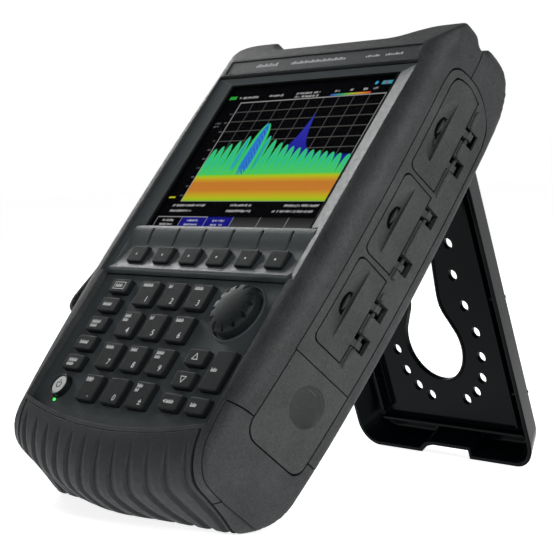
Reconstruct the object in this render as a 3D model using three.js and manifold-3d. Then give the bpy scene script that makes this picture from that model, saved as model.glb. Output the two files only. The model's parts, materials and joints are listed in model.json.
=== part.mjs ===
// A handheld microwave analyser that leans back on its open kickstand.
// It is drawn upright, then the whole instrument is tilted onto the ground it stands on.
// Upright axes, millimetres: X to the right of the screen, Y from the front to the back, Z up the face.
import * as THREE from "three";
import { mergeVertices } from "three/addons/utils/BufferGeometryUtils.js";
import Module from "manifold-3d";

const wasm = await Module();
wasm.setup();

// Overall sizes
const DEPTH = 62.8;
const BACK_TAPER = 0.0135;
const SPLIT_Y = 27.1;
const GAP = 0.3;
const LEAN_DEG = 39.6;
const HEEL = { y: 24, z: 30, r: 38.4 };
const BASE_Z = HEEL.z - HEEL.r;
const CROWN = 15;
const LIP_RISE = 9.2;
const FRONT_EDGE = 13;
const TOP_EDGE = 8;
const FLAT_CUT = 0.35;
const TOP_Z = 273.8;

// Front face
const SCREEN_HALF = 67.3;
const SCREEN_Z = [146.7, 246.5];
const BEZEL_HALF = 80.1;
const BEZEL_Y = 1.4;
const LEDGE = { half: 68.9, y: 2.9 };
const BEZEL_Z = [114.5, 250.6];
const KEY_FLOOR_Y = 4;
const KEY_TOP_Y = 1;
const PANEL_BACK_Y = 5.7;
const BUMPER_HALF = 73.7;
const GUARD_X = 81;
const GUARD_TOP_Z = 46;

// Right-hand side, in (depth, height)
const PANEL_X = 85.8;
const PANEL_Y = [13.2, 54];
const PANEL_Z = [84.4, 260.5];
const DOOR_Y = [18.3, 38.9];
const HINGE_Y = 44.5;
const PIN_R = 1.1;
const DOORS = [
  { name: "door_upper", z: [197.3, 256.4], windows: [216.9, 235.2], scoop: 227.5, hingeX: 90.1 },
  { name: "door_middle", z: [146.3, 193.6], windows: [155, 184.5], scoop: 171, hingeX: 91.6 },
  { name: "door_lower", z: [94.3, 142.4], windows: [108.6, 127.6], scoop: 119.5, hingeX: 91.4 },
];
const WINDOW_HALF = 4.4;

// Kickstand, measured along the leg from its pivot and outwards from the pivot's plane
const PIVOT = { y: 62, z: 249.6 };
const STAND_OPEN_DEG = 57.2;
const STAND_OUTER = 9;
const STAND_SKIN = 6.5;
const STAND_RIM = -7.7;
const STAND_HALF = [62, 70];
const KEYHOLE = { x: -1.4, along: 124.8, r: 22.3, neckHalf: 12.4, top: 46 };
const SMALL_HOLES = [
  [14.2, 158.5], [23.4, 153], [30.4, 143.8], [33.9, 130.5],
  [34.2, 115.3], [30.1, 99.3], [27.1, 80.8], [29.4, 61.7],
];

// How high a point of the upright instrument stands once it leans, before it is set on the ground.
function level(y, z) {
  const lean = THREE.MathUtils.degToRad(LEAN_DEG);
  return z * Math.cos(lean) - y * Math.sin(lean);
}

const GROUND = level(HEEL.y, HEEL.z) - HEEL.r;

// The leg's length from its pivot to where its rim meets the ground.
function legLength() {
  const open = THREE.MathUtils.degToRad(STAND_OPEN_DEG);
  const start = level(PIVOT.y + STAND_RIM * Math.cos(open), PIVOT.z + STAND_RIM * Math.sin(open));
  const drop = level(0, 0) - level(Math.sin(open), -Math.cos(open));
  return (start - GROUND) / drop;
}

const STAND_LENGTH = legLength();

// ---------- solids ----------

// A closed three.js geometry as a solid.
function solid(geometry) {
  const bare = geometry.index ? geometry.toNonIndexed() : geometry.clone();
  bare.deleteAttribute("normal");
  bare.deleteAttribute("uv");
  const merged = mergeVertices(bare, 1e-4);
  const triVerts = new Uint32Array(merged.index.array);
  const vertProperties = merged.attributes.position.array;
  return new wasm.Manifold(new wasm.Mesh({ numProp: 3, vertProperties, triVerts }));
}

// A solid back as a three.js geometry.
function geometryOf(body) {
  const mesh = body.getMesh();
  const geometry = new THREE.BufferGeometry();
  geometry.setAttribute("position", new THREE.BufferAttribute(mesh.vertProperties, 3));
  geometry.setIndex(new THREE.BufferAttribute(mesh.triVerts, 1));
  const flat = geometry.toNonIndexed();
  flat.computeVertexNormals();
  return flat;
}

function union(bodies) {
  return bodies.reduce((all, one) => all.add(one));
}

function box([x0, x1], [y0, y1], [z0, z1]) {
  const geometry = new THREE.BoxGeometry(x1 - x0, y1 - y0, z1 - z0);
  return solid(geometry.translate((x0 + x1) / 2, (y0 + y1) / 2, (z0 + z1) / 2));
}

// A round bar along Y.
function barY(x, z, r, [y0, y1], segments = 24) {
  const geometry = new THREE.CylinderGeometry(r, r, y1 - y0, segments);
  return solid(geometry.translate(x, (y0 + y1) / 2, z));
}

// A round bar along Z.
function barZ(x, y, r, [z0, z1], segments = 20) {
  const geometry = new THREE.CylinderGeometry(r, r, z1 - z0, segments).rotateX(Math.PI / 2);
  return solid(geometry.translate(x, y, (z0 + z1) / 2));
}

// A round bar along X.
function barX(y, z, r, [x0, x1], segments = 20) {
  const geometry = new THREE.CylinderGeometry(r, r, x1 - x0, segments).rotateZ(Math.PI / 2);
  return solid(geometry.translate((x0 + x1) / 2, y, z));
}

// A shape drawn in (x, z) and extruded in depth; edge rounds both ends, inset shrinks it.
function extrudeFace(shape, [y0, y1], edge = 0, inset = 0, segments = 3) {
  const bevel = Math.max(edge, 0.001);
  const geometry = new THREE.ExtrudeGeometry(shape, {
    depth: y1 - y0 - 2 * bevel,
    bevelEnabled: edge > 0 || inset > 0,
    bevelThickness: bevel,
    bevelSize: edge,
    bevelOffset: -edge - inset,
    bevelSegments: edge > 0 ? segments : 1,
    curveSegments: 6,
  });
  if (edge === 0 && inset === 0) geometry.scale(1, 1, (y1 - y0) / (y1 - y0 - 2 * bevel));
  geometry.rotateX(Math.PI / 2);
  const top = edge > 0 || inset > 0 ? y1 - bevel : y1;
  return solid(geometry.translate(0, top, 0));
}

// A shape drawn in (y, z) and extruded along X; lift raises each point by a height.
function extrudeSide(shape, [x0, x1], steps = 1, lift = () => 0) {
  const geometry = new THREE.ExtrudeGeometry(shape, {
    depth: x1 - x0,
    steps,
    bevelEnabled: false,
    curveSegments: 8,
  });
  const position = geometry.attributes.position;
  for (let i = 0; i < position.count; i += 1) {
    const [y, z] = [position.getX(i), position.getY(i)];
    position.setY(i, z + lift(x0 + position.getZ(i), y, z));
  }
  const turn = new THREE.Matrix4().makeBasis(
    new THREE.Vector3(0, 1, 0),
    new THREE.Vector3(0, 0, 1),
    new THREE.Vector3(1, 0, 0),
  );
  return solid(geometry.applyMatrix4(turn).translate(x0, 0, 0));
}

// A profile of [radius, y] points, back to front, turned about the Y axis through (x, z).
function turned(points, x, z, segments = 40) {
  const profile = points.map(([r, y]) => new THREE.Vector2(r, y)).reverse();
  return solid(new THREE.LatheGeometry(profile, segments).translate(x, 0, z));
}

function shapeOf(points) {
  return new THREE.Shape(points.map(([a, b]) => new THREE.Vector2(a, b)));
}

function splinePoints(points, count) {
  const curve = new THREE.SplineCurve(points.map(([a, b]) => new THREE.Vector2(a, b)));
  return curve.getPoints(count).map((p) => [p.x, p.y]);
}

function arcPoints([ca, cb], [ra, rb], from, to, count) {
  return Array.from({ length: count + 1 }, (_, i) => {
    const angle = THREE.MathUtils.degToRad(from + ((to - from) * i) / count);
    return [ca + ra * Math.cos(angle), cb + rb * Math.sin(angle)];
  });
}

function roundedRect(cx, cz, w, h, r, count = 2) {
  const corners = [
    [cx + w / 2 - r, cz - h / 2 + r, -90],
    [cx + w / 2 - r, cz + h / 2 - r, 0],
    [cx - w / 2 + r, cz + h / 2 - r, 90],
    [cx - w / 2 + r, cz - h / 2 + r, 180],
  ];
  return shapeOf(corners.flatMap(([a, b, from]) => arcPoints([a, b], [r, r], from, from + 90, count)));
}

// ---------- the case as a whole ----------

// The barrel-shaped front outline, right half, from the bottom up to the shoulder.
const FLANK = [
  [0, -8.6], [30, -8], [54, -6], [70, -1.6], [80.2, 6.4], [85.6, 19.6], [88.4, 37], [90.6, 56],
  [92.6, 82], [94.3, 116], [94.6, 155], [94.2, 190], [92.8, 225], [91.2, 252], [90.6, 264],
];
const HORN = [
  [90, 273.6], [87.8, 282.2], [82.4, 287.8], [75, 289.2], [66, 287], [58, 280.6], [50, 275.4], [42, TOP_Z],
];

function mirrored(half) {
  const left = half.map(([x, z]) => [-x, z]).reverse();
  return shapeOf([...half.slice(1), ...left.filter(([x]) => x !== 0)].concat([[0, half[0][1]]]));
}

function outline(withHorns) {
  const flank = splinePoints(FLANK, 22);
  const top = withHorns ? HORN : [[88, 271], [80, 273]];
  return mirrored([...flank, ...top]);
}

// The outline with its sides running straight on upwards.
function tallOutline() {
  return mirrored([...splinePoints(FLANK, 22), [FLANK.at(-1)[0], 340]]);
}

// The side profile in (y, z): rounded toe, long heel radius, and the two horns with a groove between.
function sideProfile(inset, withHorns) {
  const toeHeight = 22 - BASE_Z;
  const toe = arcPoints([18, 22], [18 - inset, toeHeight - inset], 180, 270, 8);
  const heel = arcPoints([HEEL.y, HEEL.z], [HEEL.r - inset, HEEL.r - inset], -90, 0, 12);
  const horns = [
    [59.2, 252], [57.8, 260], [55.6, 268], [52.6, 275.8], [48.2, 282.4], [42.4, 286.8],
    [36, 287.6], [32.5, 285], [30.6, 280.4], [24.2, 280.4], [22.8, 285.8], [19.5, 289.4],
    [15.5, 289.2], [9.5, 283], [4, 273.6], [0, 264.5],
  ];
  const plain = [[58.8 - inset, 272], [inset, 272]];
  return shapeOf([...toe, ...heel, ...(withHorns ? horns : plain)]);
}

// How much the bottom of the case lifts towards its sides: most at the toe, hardly at the heel.
function crown(x, y, z) {
  const upwards = THREE.MathUtils.clamp((90 - z) / 60, 0, 1);
  const backwards = THREE.MathUtils.clamp(1 - (y / 48) ** 4, 0.05, 1);
  return CROWN * Math.abs(x / BUMPER_HALF) ** 1.65 * upwards * backwards;
}

// The whole case as one solid, shrunk by inset on every side but the top.
function caseSolid(inset = 0) {
  const horned = inset === 0;
  const shape = outline(horned);
  const flanksRounded = extrudeFace(tallOutline(), [inset, 200], FRONT_EDGE - inset, inset, 5);
  const topRounded = extrudeFace(shape, [inset, 200], TOP_EDGE - inset, inset, 4);
  const taper = new THREE.Matrix4().makeShear(0, 0, 0, 0, 0, -BACK_TAPER);
  const slab = extrudeFace(shape, [-140, DEPTH - inset], Math.max(2.5 - inset, 0.4), inset, 2);
  const backRounded = solid(geometryOf(slab).applyMatrix4(taper));
  const profile = extrudeSide(sideProfile(inset, horned), [-100, 100], 12, crown);
  return topRounded.intersect(flanksRounded).intersect(backRounded).intersect(profile);
}

const CASE = caseSolid();

// The outer skin of the case within a region, down to a thickness.
function skin(thickness, region) {
  return CASE.intersect(region).subtract(caseSolid(thickness));
}

// A cutter that removes the case within a region, down to a thickness.
function skinCutter(thickness, region) {
  return region.subtract(caseSolid(thickness));
}

// ---------- regions that the outer pieces share ----------

function lipZ(x) {
  return 20.3 + LIP_RISE * (x / BUMPER_HALF) ** 2;
}

// Everything under the curved lip at the bottom of the keypad.
function bumperRegion(grow) {
  const half = BUMPER_HALF + grow;
  const xs = Array.from({ length: 17 }, (_, i) => half - (i * half) / 8);
  const lip = xs.map((x) => [x, lipZ(x) + grow]);
  return extrudeFace(shapeOf([[-half, -20], [half, -20], ...lip]), [-5, DEPTH + 5]);
}

function guardRegion(side, grow) {
  const xs = [GUARD_X - grow, 100];
  const range = side > 0 ? xs : [-xs[1], -xs[0]];
  return box(range, [-5, DEPTH + 5], [-20, GUARD_TOP_Z + grow]);
}

// The battery door's outline in (y, z).
function batteryRegion(grow, xs) {
  const [y0, y1] = [13.5 - grow, 54 + grow];
  const [z0, z1] = [37.5 - grow, 83.8 + grow];
  const front = arcPoints([y0 + 9, z0 + 9], [9, 9], 180, 270, 5);
  const rear = arcPoints([y1 - 6, z0 + 6], [6, 6], 270, 360, 4);
  return extrudeSide(shapeOf([[y0, z1], ...front, ...rear, [y1, z1]]), xs);
}

// The side panel's outline in (y, z), with its arched top.
function panelRegion(grow, xs) {
  const [y0, y1] = [PANEL_Y[0] - grow, PANEL_Y[1] + grow];
  const [z0, z1] = [PANEL_Z[0] - grow, PANEL_Z[1] + grow];
  const arch = [[y0, z1 - 15], [y0 + 1.2, z1 - 6], [y0 + 5, z1 - 1.6], [y0 + 11, z1], [33, z1 - 0.2],
    [41, z1 - 3], [48, z1 - 8.5], [y1 - 2, z1 - 15], [y1, z1 - 24]];
  const points = [[y0, z0], ...arch, [y1, z0]].reverse();
  return extrudeSide(shapeOf(points), xs);
}

function doorRegion(door, grow, xs, rearGrow = grow) {
  const [y0, y1] = [DOOR_Y[0] - grow, DOOR_Y[1] + rearGrow];
  const [z0, z1] = [door.z[0] - grow, door.z[1] + grow];
  const top = door.name === "door_upper"
    ? [[y1, z1 - 2.6], [y0 + 14, z1], [y0 + 8, z1], [y0 + 2, z1 - 2.2], [y0, z1 - 8]]
    : [[y1, z1 - 0.6], ...arcPoints([y0 + 4, z1 - 4], [4, 4], 90, 180, 4)];
  const foot = arcPoints([y0 + 4, z0 + 4], [4, 4], 180, 270, 4);
  return extrudeSide(shapeOf([...foot, [y1, z0], ...top]), xs);
}

// A hinge window beside a door, in the strip behind it.
function windowBox(centre, grow, xs) {
  const half = WINDOW_HALF + grow;
  return box(xs, [DOOR_Y[1] - 1, HINGE_Y + 4.4 + grow], [centre - half, centre + half]);
}

// What lies under the ground once the instrument leans: it flattens the heel and the foot a little.
function underGround() {
  const slab = new THREE.BoxGeometry(300, 600, 40).translate(0, 150, GROUND + FLAT_CUT - 20);
  return solid(slab.rotateX(THREE.MathUtils.degToRad(LEAN_DEG)));
}

// ---------- case pieces ----------

const RIGHT = [PANEL_X - GAP, 100];
const LEFT = [-100, -PANEL_X + GAP];

function facadeOpening() {
  const lip = Array.from({ length: 17 }, (_, i) => -76 + i * 9.5).map((x) => [x, lipZ(x) + 2.6]);
  const half = BEZEL_HALF + GAP;
  const upper = [[77.3, 114.2], [half, 114.2], [half, BEZEL_Z[1] + GAP], [-half, BEZEL_Z[1] + GAP],
    [-half, 114.2], [-77.3, 114.2]];
  return extrudeFace(shapeOf([[-77.3, 34], ...lip, [77.3, 34], ...upper]), [-5, 9.5]);
}

// What both halves of the case give up to the pieces fitted into them.
function housingBlank() {
  const guards = skinCutter(3.5, guardRegion(1, GAP).add(guardRegion(-1, GAP)));
  const bumper = skinCutter(3.8, bumperRegion(GAP));
  const battery = skinCutter(3.3, batteryRegion(GAP, [78, 100]));
  const batteryMouth = batteryRegion(-4, [70, 100]);
  const panels = panelRegion(GAP, RIGHT).add(panelRegion(GAP, LEFT));
  const cavity = box([-81.5, 81.5], [9, 50], [33, 264]);
  const portPocket = box([-45, 45], [14, 49], [270, 300]).add(box([-38, 38], [18, 45], [260, 271]));
  const cuts = union([guards, bumper, battery, batteryMouth, panels, cavity, portPocket]);
  return CASE.subtract(cuts);
}

const BLANK = housingBlank();

function frontHousing() {
  const half = BLANK.intersect(box([-120, 120], [-10, SPLIT_Y], [-20, 310]));
  const nameRecess = box([-77, 77], [-1, 1.5], [252.7, 262.4]);
  return half.subtract(facadeOpening()).subtract(nameRecess);
}

function pivotLug(x0) {
  const cheek = barX(PIVOT.y, PIVOT.z, 4.6, [x0, x0 + 5]);
  const root = box([x0, x0 + 5], [52, PIVOT.y], [PIVOT.z - 4.6, PIVOT.z + 4.6]);
  return cheek.add(root);
}

function rearHousing() {
  const half = BLANK.intersect(box([-120, 120], [SPLIT_Y + GAP, 100], [-20, 310]));
  const bay = box([-71, 71], [53.7, 80], [54, 257]);
  const lugs = pivotLug(43).add(pivotLug(-48));
  const pinHole = barX(PIVOT.y, PIVOT.z, 2.65, [-60, 60]);
  return half.subtract(bay).add(lugs).subtract(pinHole);
}

function bottomBumper() {
  const shell = skin(3.5, bumperRegion(0));
  const grooves = Array.from({ length: 12 }, (_, i) => -68.75 + 12.5 * i).map((x) =>
    box([x - 1.4, x + 1.4], [-5, DEPTH], [-20, lipZ(x) - 6.5]),
  );
  return shell.subtract(skinCutter(1.3, union(grooves))).subtract(underGround());
}

function cornerGuard(side) {
  const shell = skin(3.2, guardRegion(side, 0));
  return side > 0 ? shell.subtract(batteryRegion(GAP, [70, 100])) : shell;
}

function sidePanel(side) {
  const xs = side > 0 ? [PANEL_X, 100] : [-100, -PANEL_X];
  return CASE.intersect(panelRegion(0, xs));
}

function rightPanel() {
  const bays = skinCutter(3, union(DOORS.map((door) => doorRegion(door, 0.35, RIGHT, 0.65))));
  const windows = DOORS.flatMap((door) => door.windows.map((z) => windowBox(z, 0, [PANEL_X - 1, 100])));
  const pins = DOORS.flatMap((door) =>
    door.windows.map((z) => {
      const reach = WINDOW_HALF + 1;
      return barZ(door.hingeX, HINGE_Y, PIN_R, [z - reach, z + reach], 12);
    }),
  );
  return sidePanel(1).subtract(bays).subtract(union(windows)).add(union(pins));
}

function leftPanel() {
  const vents = Array.from({ length: 7 }, (_, i) => 215 + 5.2 * i).map((z) =>
    box([-100, -80], [40, 51], [z - 1.2, z + 1.2]),
  );
  return sidePanel(-1).subtract(union(vents));
}

// ---------- doors ----------

function scoopShape(centre) {
  const back = [[27.9, centre - 19], [27.9, centre + 19]];
  const bulge = splinePoints([[27.9, centre + 19], [22, centre + 14.5], [17.9 + 1.6, centre + 2],
    [22, centre - 13], [27.9, centre - 19]], 12);
  return shapeOf([...back, ...bulge.slice(1, -1)]);
}

function door(spec) {
  const leaf = skin(1, doorRegion(spec, 0, [80, 100])).add(skin(2.5, doorRegion(spec, 0, [80, 100], -0.6)));
  const scoop = skinCutter(1, extrudeSide(scoopShape(spec.scoop), [80, 100]));
  const slot = skinCutter(1.9, box([80, 100], [23.8, 27.4], [spec.scoop - 6, spec.scoop + 6]));
  const arms = spec.windows.map((z) => {
    const half = WINDOW_HALF - 0.8;
    const strap = box([spec.hingeX - 1, spec.hingeX + 1], [DOOR_Y[1] - 1, HINGE_Y], [z - half, z + half]);
    const barrel = barZ(spec.hingeX, HINGE_Y, 2.4, [z - half, z + half], 16);
    const bore = barZ(spec.hingeX, HINGE_Y, PIN_R + 0.1, [z - half - 1, z + half + 1], 16);
    return strap.add(barrel).subtract(bore);
  });
  return leaf.subtract(scoop).subtract(slot).add(union(arms));
}

function batteryDoor() {
  const leaf = skin(3, batteryRegion(0, [78, 100]));
  const dimple = skinCutter(0.8, barX(36.2, 66, 10.2, [80, 100], 28));
  const tongue = box([83, 90.4], [19, 48.5], [74, 78.5]);
  return leaf.subtract(dimple).add(tongue);
}

// ---------- screen, keypad ----------

function displayBezel() {
  const frame = box([-BEZEL_HALF, BEZEL_HALF], [BEZEL_Y, 4], BEZEL_Z);
  const opening = box([-SCREEN_HALF, SCREEN_HALF], [-2, 8], SCREEN_Z);
  const shelf = box([-74.6, 74.6], [-2, 3], [118.4, 139]);
  const funnel = taperedOpening();
  const holes = SOFTKEYS.map((key) => extrudeFace(keyShape(key, GAP), [-2, 8]));
  return frame.subtract(union([opening, shelf, funnel, ...holes]));
}

// The sloping sides that lead from the bezel's rim down to the ledge round the screen.
function taperedOpening() {
  const [z0, z1] = [139, SCREEN_Z[1]];
  const thickness = LEDGE.y - BEZEL_Y + 0.1;
  const slope = new THREE.BoxGeometry(2 * LEDGE.half, thickness, z1 - z0);
  slope.translate(0, LEDGE.y - thickness / 2, (z0 + z1) / 2);
  const position = slope.attributes.position;
  for (let i = 0; i < position.count; i += 1) {
    if (position.getY(i) < BEZEL_Y) {
      position.setX(i, Math.sign(position.getX(i)) * (BEZEL_HALF - 0.6));
      if (position.getZ(i) > z0) position.setZ(i, BEZEL_Z[1] - 0.8);
    }
  }
  return solid(slope);
}

const SOFTKEYS = Array.from({ length: 6 }, (_, i) => ({
  name: `softkey_${i + 1}`, x: -57.3 + 23.2 * i, z: 126.4, w: 13.4, h: 10,
}));

const COLUMN_KEYS = ["mode", "frequency", "scale", "marker", "tools"].map((use, i) => ({
  name: `key_${use}`, x: -55.2, z: 105.2 - 12.25 * i, w: 16, h: 8.4,
}));

const DIGIT_KEYS = ["1", "2", "3", "4", "5", "6", "7", "8", "9", "point", "0", "sign"].map((use, i) => ({
  name: `key_${use}`, x: -28.3 + 22.1 * (i % 3), z: 101.6 - 19.65 * Math.floor(i / 3), w: 15.2, h: 14.8,
}));

const ENTRY_KEYS = [
  { name: "key_up", x: 41.8, z: 67.3, w: 14.8, h: 8.8 },
  { name: "key_down", x: 41.6, z: 54.3, w: 14.8, h: 8.8 },
  { name: "key_back", x: 41.6, z: 41.4, w: 14.4, h: 8.8 },
  { name: "key_enter", x: 62.6, z: 61.3, w: 14, h: 22 },
  { name: "key_escape", x: 62.4, z: 41.4, w: 14.2, h: 8.8 },
];

const PAD_KEYS = [...COLUMN_KEYS, ...DIGIT_KEYS, ...ENTRY_KEYS];
const POWER = { x: -55.4, z: 41.8, r: 6.3 };
const KNOB = { x: 50.3, z: 95.1 };
const LAMP = { x: -56.1, z: 34 };

function keyShape(key, grow) {
  return roundedRect(key.x, key.z, key.w + 2 * grow, key.h + 2 * grow, 0.8 + grow);
}

// A key: the cap that shows, and the flange behind the panel that keeps it in.
function keyBody(key, floor = PANEL_BACK_Y) {
  const cap = extrudeFace(keyShape(key, 0), [KEY_TOP_Y, floor + 0.8], 0.5, 0, 1);
  const flange = box(
    [key.x - key.w / 2 - 1, key.x + key.w / 2 + 1],
    [floor + 0.3, floor + 1.1],
    [key.z - key.h / 2 - 1, key.z + key.h / 2 + 1],
  );
  return cap.add(flange);
}

function keypadPanel() {
  const lip = Array.from({ length: 17 }, (_, i) => -75.6 + i * 9.45).map((x) => [x, lipZ(x) + 2.9]);
  const edge = shapeOf([[-77, 34.3], ...lip, [77, 34.3], [77, 113.9], [-77, 113.9]]);
  const plate = extrudeFace(edge, [KEY_FLOOR_Y, PANEL_BACK_Y]);
  const ring = barY(KNOB.x, KNOB.z, 16.6, [KEY_FLOOR_Y - 0.7, KEY_FLOOR_Y + 0.5], 40);
  const holes = PAD_KEYS.map((key) => extrudeFace(keyShape(key, GAP), [0, 9]));
  const round = [
    barY(POWER.x, POWER.z, POWER.r + GAP, [0, 9], 28),
    barY(KNOB.x, KNOB.z, 3.6, [0, 9], 20),
    barY(KNOB.x, KNOB.z, 15.2, [0, KEY_FLOOR_Y], 40),
    barY(LAMP.x, LAMP.z, 1.05, [0, 9], 12),
  ];
  return plate.add(ring).subtract(union([...holes, ...round]));
}

function powerButton() {
  const { x, z, r } = POWER;
  const profile = [[0, 7], [r + 1, 7], [r + 1, 6.2], [r, 6.2], [r, 1.6], [r - 0.6, 0.9], [5.4, 0.9],
    [5.2, 1.3], [0, 1.3]];
  return turned(profile, x, z, 28);
}

function knob() {
  const rim = [[0, 3.1], [14.4, 3.1], [14.4, -0.4], [13.4, -2], [11.4, -3], [6, -3.6], [0, -3.8]];
  const flutes = Array.from({ length: 12 }, (_, i) => (i * Math.PI) / 6 + 0.2).map((angle) =>
    barY(KNOB.x + 14.6 * Math.cos(angle), KNOB.z + 14.6 * Math.sin(angle), 1.5, [-6, 2], 10),
  );
  const bore = barY(KNOB.x, KNOB.z, 3.1, [-1.2, 5], 20);
  return turned(rim, KNOB.x, KNOB.z, 48).subtract(union(flutes)).subtract(bore);
}

// ---------- ports, strap, kickstand ----------

function rfPort(x) {
  const profile = [[0, 0], [9.5, 0], [9.5, 3], [8, 3], [8, 14.5], [7.2, 15], [5.2, 15], [5.2, 6], [1.4, 6],
    [1.4, 11], [0, 11]].map(([r, h]) => new THREE.Vector2(r, h));
  const geometry = new THREE.LatheGeometry(profile, 28).rotateX(Math.PI / 2);
  return solid(geometry.translate(x, 31.5, 272.3));
}

// The strap bows out from the left side and turns in sharply at its lower end.
function handStrap() {
  const outer = splinePoints([[-95.2, 212], [-97.6, 200], [-98.2, 165], [-98.8, 138], [-101.2, 120],
    [-104.4, 108], [-106, 101], [-104.8, 95.2], [-101, 92], [-95.2, 89.6]], 26);
  const inner = splinePoints([[-95.2, 92.2], [-100.4, 94.2], [-102.8, 96.6], [-103.4, 101], [-102, 107.2],
    [-98.9, 119], [-96.6, 138], [-95.7, 165], [-95.2, 198], [-95.2, 206]], 26);
  return extrudeFace(shapeOf([...outer, ...inner].reverse()), [9, 33]);
}

function strapAnchor(z) {
  const plate = box([-97.6, -95], [12, 36], [z - 3.5, z + 3.5]);
  return plate.add(box([-96, -94.9], [14, 34], [z - 2.5, z + 2.5]));
}

// The leg's outline at its rim, drawn in (x, along the leg), with the notch in its foot.
function standOutline() {
  const half = STAND_HALF[1];
  const foot = STAND_LENGTH;
  const right = arcPoints([half - 15, foot - 15], [15, 15], 0, 90, 6);
  const notch = [[19.3, foot], [19.3, foot - 5.5], [-9, foot - 5.5], [-14, foot - 4.2], [-19.5, foot]];
  const left = arcPoints([-half + 15, foot - 15], [15, 15], 90, 180, 6);
  return shapeOf([[half, 0], ...right, ...notch, ...left, [-half, 0]]);
}

// Drawn flat: x across, y away from the case, z = minus the distance along the leg.
function legBlank(inset, [y0, y1]) {
  const geometry = new THREE.ExtrudeGeometry(standOutline(), {
    depth: y1 - y0,
    bevelEnabled: true,
    bevelThickness: 0.001,
    bevelSize: 0,
    bevelOffset: -inset,
    bevelSegments: 1,
  });
  const position = geometry.attributes.position;
  for (let i = 0; i < position.count; i += 1) {
    const y = y0 + position.getZ(i);
    const draft = (y - STAND_RIM) / (STAND_OUTER - STAND_RIM);
    const pull = 1 - draft * (1 - STAND_HALF[0] / STAND_HALF[1]);
    const along = position.getY(i);
    const shorten = along > STAND_LENGTH / 2 ? draft * 6 : 0;
    position.setXYZ(i, position.getX(i) * pull, y, -(along - shorten));
  }
  return solid(geometry);
}

function keyholeCut() {
  const { x: lobeX, along, r, neckHalf, top } = KEYHOLE;
  const lobe = arcPoints([lobeX, -along], [r, r], 145, 395, 22);
  const neck = [[neckHalf, -along + 26.5], [neckHalf + 0.9, -along + 41], [neckHalf + 3, -along + 54]];
  const neckRight = neck.map(([x, z]) => [lobeX + x, z]);
  const crest = arcPoints([lobeX, -top - 16], [neckHalf + 3.4, 16], 0, 180, 10);
  const neckLeft = neck.map(([x, z]) => [lobeX - x, z]).reverse();
  return extrudeFace(shapeOf([...lobe, ...neckRight, ...crest, ...neckLeft]), [-20, 20]);
}

function smallHoles() {
  const both = SMALL_HOLES.flatMap(([x, along]) => [[x, -along], [-x, -along]]);
  return union(both.map(([x, z]) => barY(x, z, 3, [0, 20], 12)));
}

function kickstand() {
  const shell = legBlank(0, [STAND_RIM, STAND_OUTER]);
  const openTop = box([-66, 66], [STAND_RIM - 5, STAND_SKIN], [-12, 12]);
  const hollow = legBlank(2.6, [STAND_RIM - 5, STAND_SKIN]).add(openTop);
  const ribs = [-1, 1].flatMap((side) => [
    box([side * 54 - 0.8, side * 54 + 0.8], [1, STAND_SKIN + 1], [-170, -14]),
    box([side * 59 - 6.5, side * 59 + 4], [2, STAND_SKIN + 1], [-93, -91.4]),
    box([side * 59 - 6.5, side * 59 + 4], [2, STAND_SKIN + 1], [-150, -148.4]),
  ]);
  const pads = box([-57, 57], [1.5, STAND_SKIN + 1], [-176, -174.4]);
  const ears = [-1, 1].map((side) => {
    const [x0, x1] = side > 0 ? [49, 55.5] : [-55.5, -49];
    const eye = barX(0, 0, 4.8, [x0, x1]);
    return eye.add(box([x0, x1], [0, STAND_OUTER - 0.5], [-14, 4.8]));
  });
  const body = shell.subtract(hollow).subtract(keyholeCut()).subtract(smallHoles());
  const bore = barX(0, 0, 2.6, [-60, 60]);
  const turn = new THREE.Matrix4().makeRotationX(THREE.MathUtils.degToRad(STAND_OPEN_DEG));
  const made = union([body, ...ribs.map((rib) => rib.intersect(shell)), pads.intersect(shell), ...ears])
    .subtract(bore);
  const open = solid(geometryOf(made).applyMatrix4(turn).translate(0, PIVOT.y, PIVOT.z));
  return open.subtract(underGround());
}

// ---------- materials and assembly ----------

const MATERIALS = {
  case: { color: 0x3c3f40, roughness: 0.75, metalness: 0 },
  rubber: { color: 0x2e3131, roughness: 0.85, metalness: 0 },
  panel: { color: 0x454747, roughness: 0.7, metalness: 0 },
  bezel: { color: 0x55595b, roughness: 0.6, metalness: 0 },
  keypad: { color: 0x35393b, roughness: 0.8, metalness: 0 },
  key: { color: 0x1b1d1e, roughness: 0.7, metalness: 0 },
  button: { color: 0xb9bcbb, roughness: 0.5, metalness: 0 },
  knob: { color: 0x1a1c1d, roughness: 0.65, metalness: 0 },
  glass: { color: 0x0b0d10, roughness: 0.08, metalness: 0 },
  display: { color: 0x11151c, roughness: 0.4, metalness: 0 },
  stand: { color: 0x101314, roughness: 0.25, metalness: 0 },
  steel: { color: 0x9a9da0, roughness: 0.35, metalness: 1 },
  webbing: { color: 0x141414, roughness: 0.95, metalness: 0 },
  board: { color: 0x1e4a2f, roughness: 0.6, metalness: 0 },
  shield: { color: 0xa8abad, roughness: 0.4, metalness: 1 },
  battery: { color: 0x25272a, roughness: 0.6, metalness: 0 },
  lamp: { color: 0x35d04a, roughness: 0.3, metalness: 0 },
};

const instrument = new THREE.Group();
instrument.name = "instrument";

function place(name, material, body) {
  const mesh = new THREE.Mesh(geometryOf(body), new THREE.MeshStandardMaterial(MATERIALS[material]));
  mesh.name = name;
  instrument.add(mesh);
}

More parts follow.
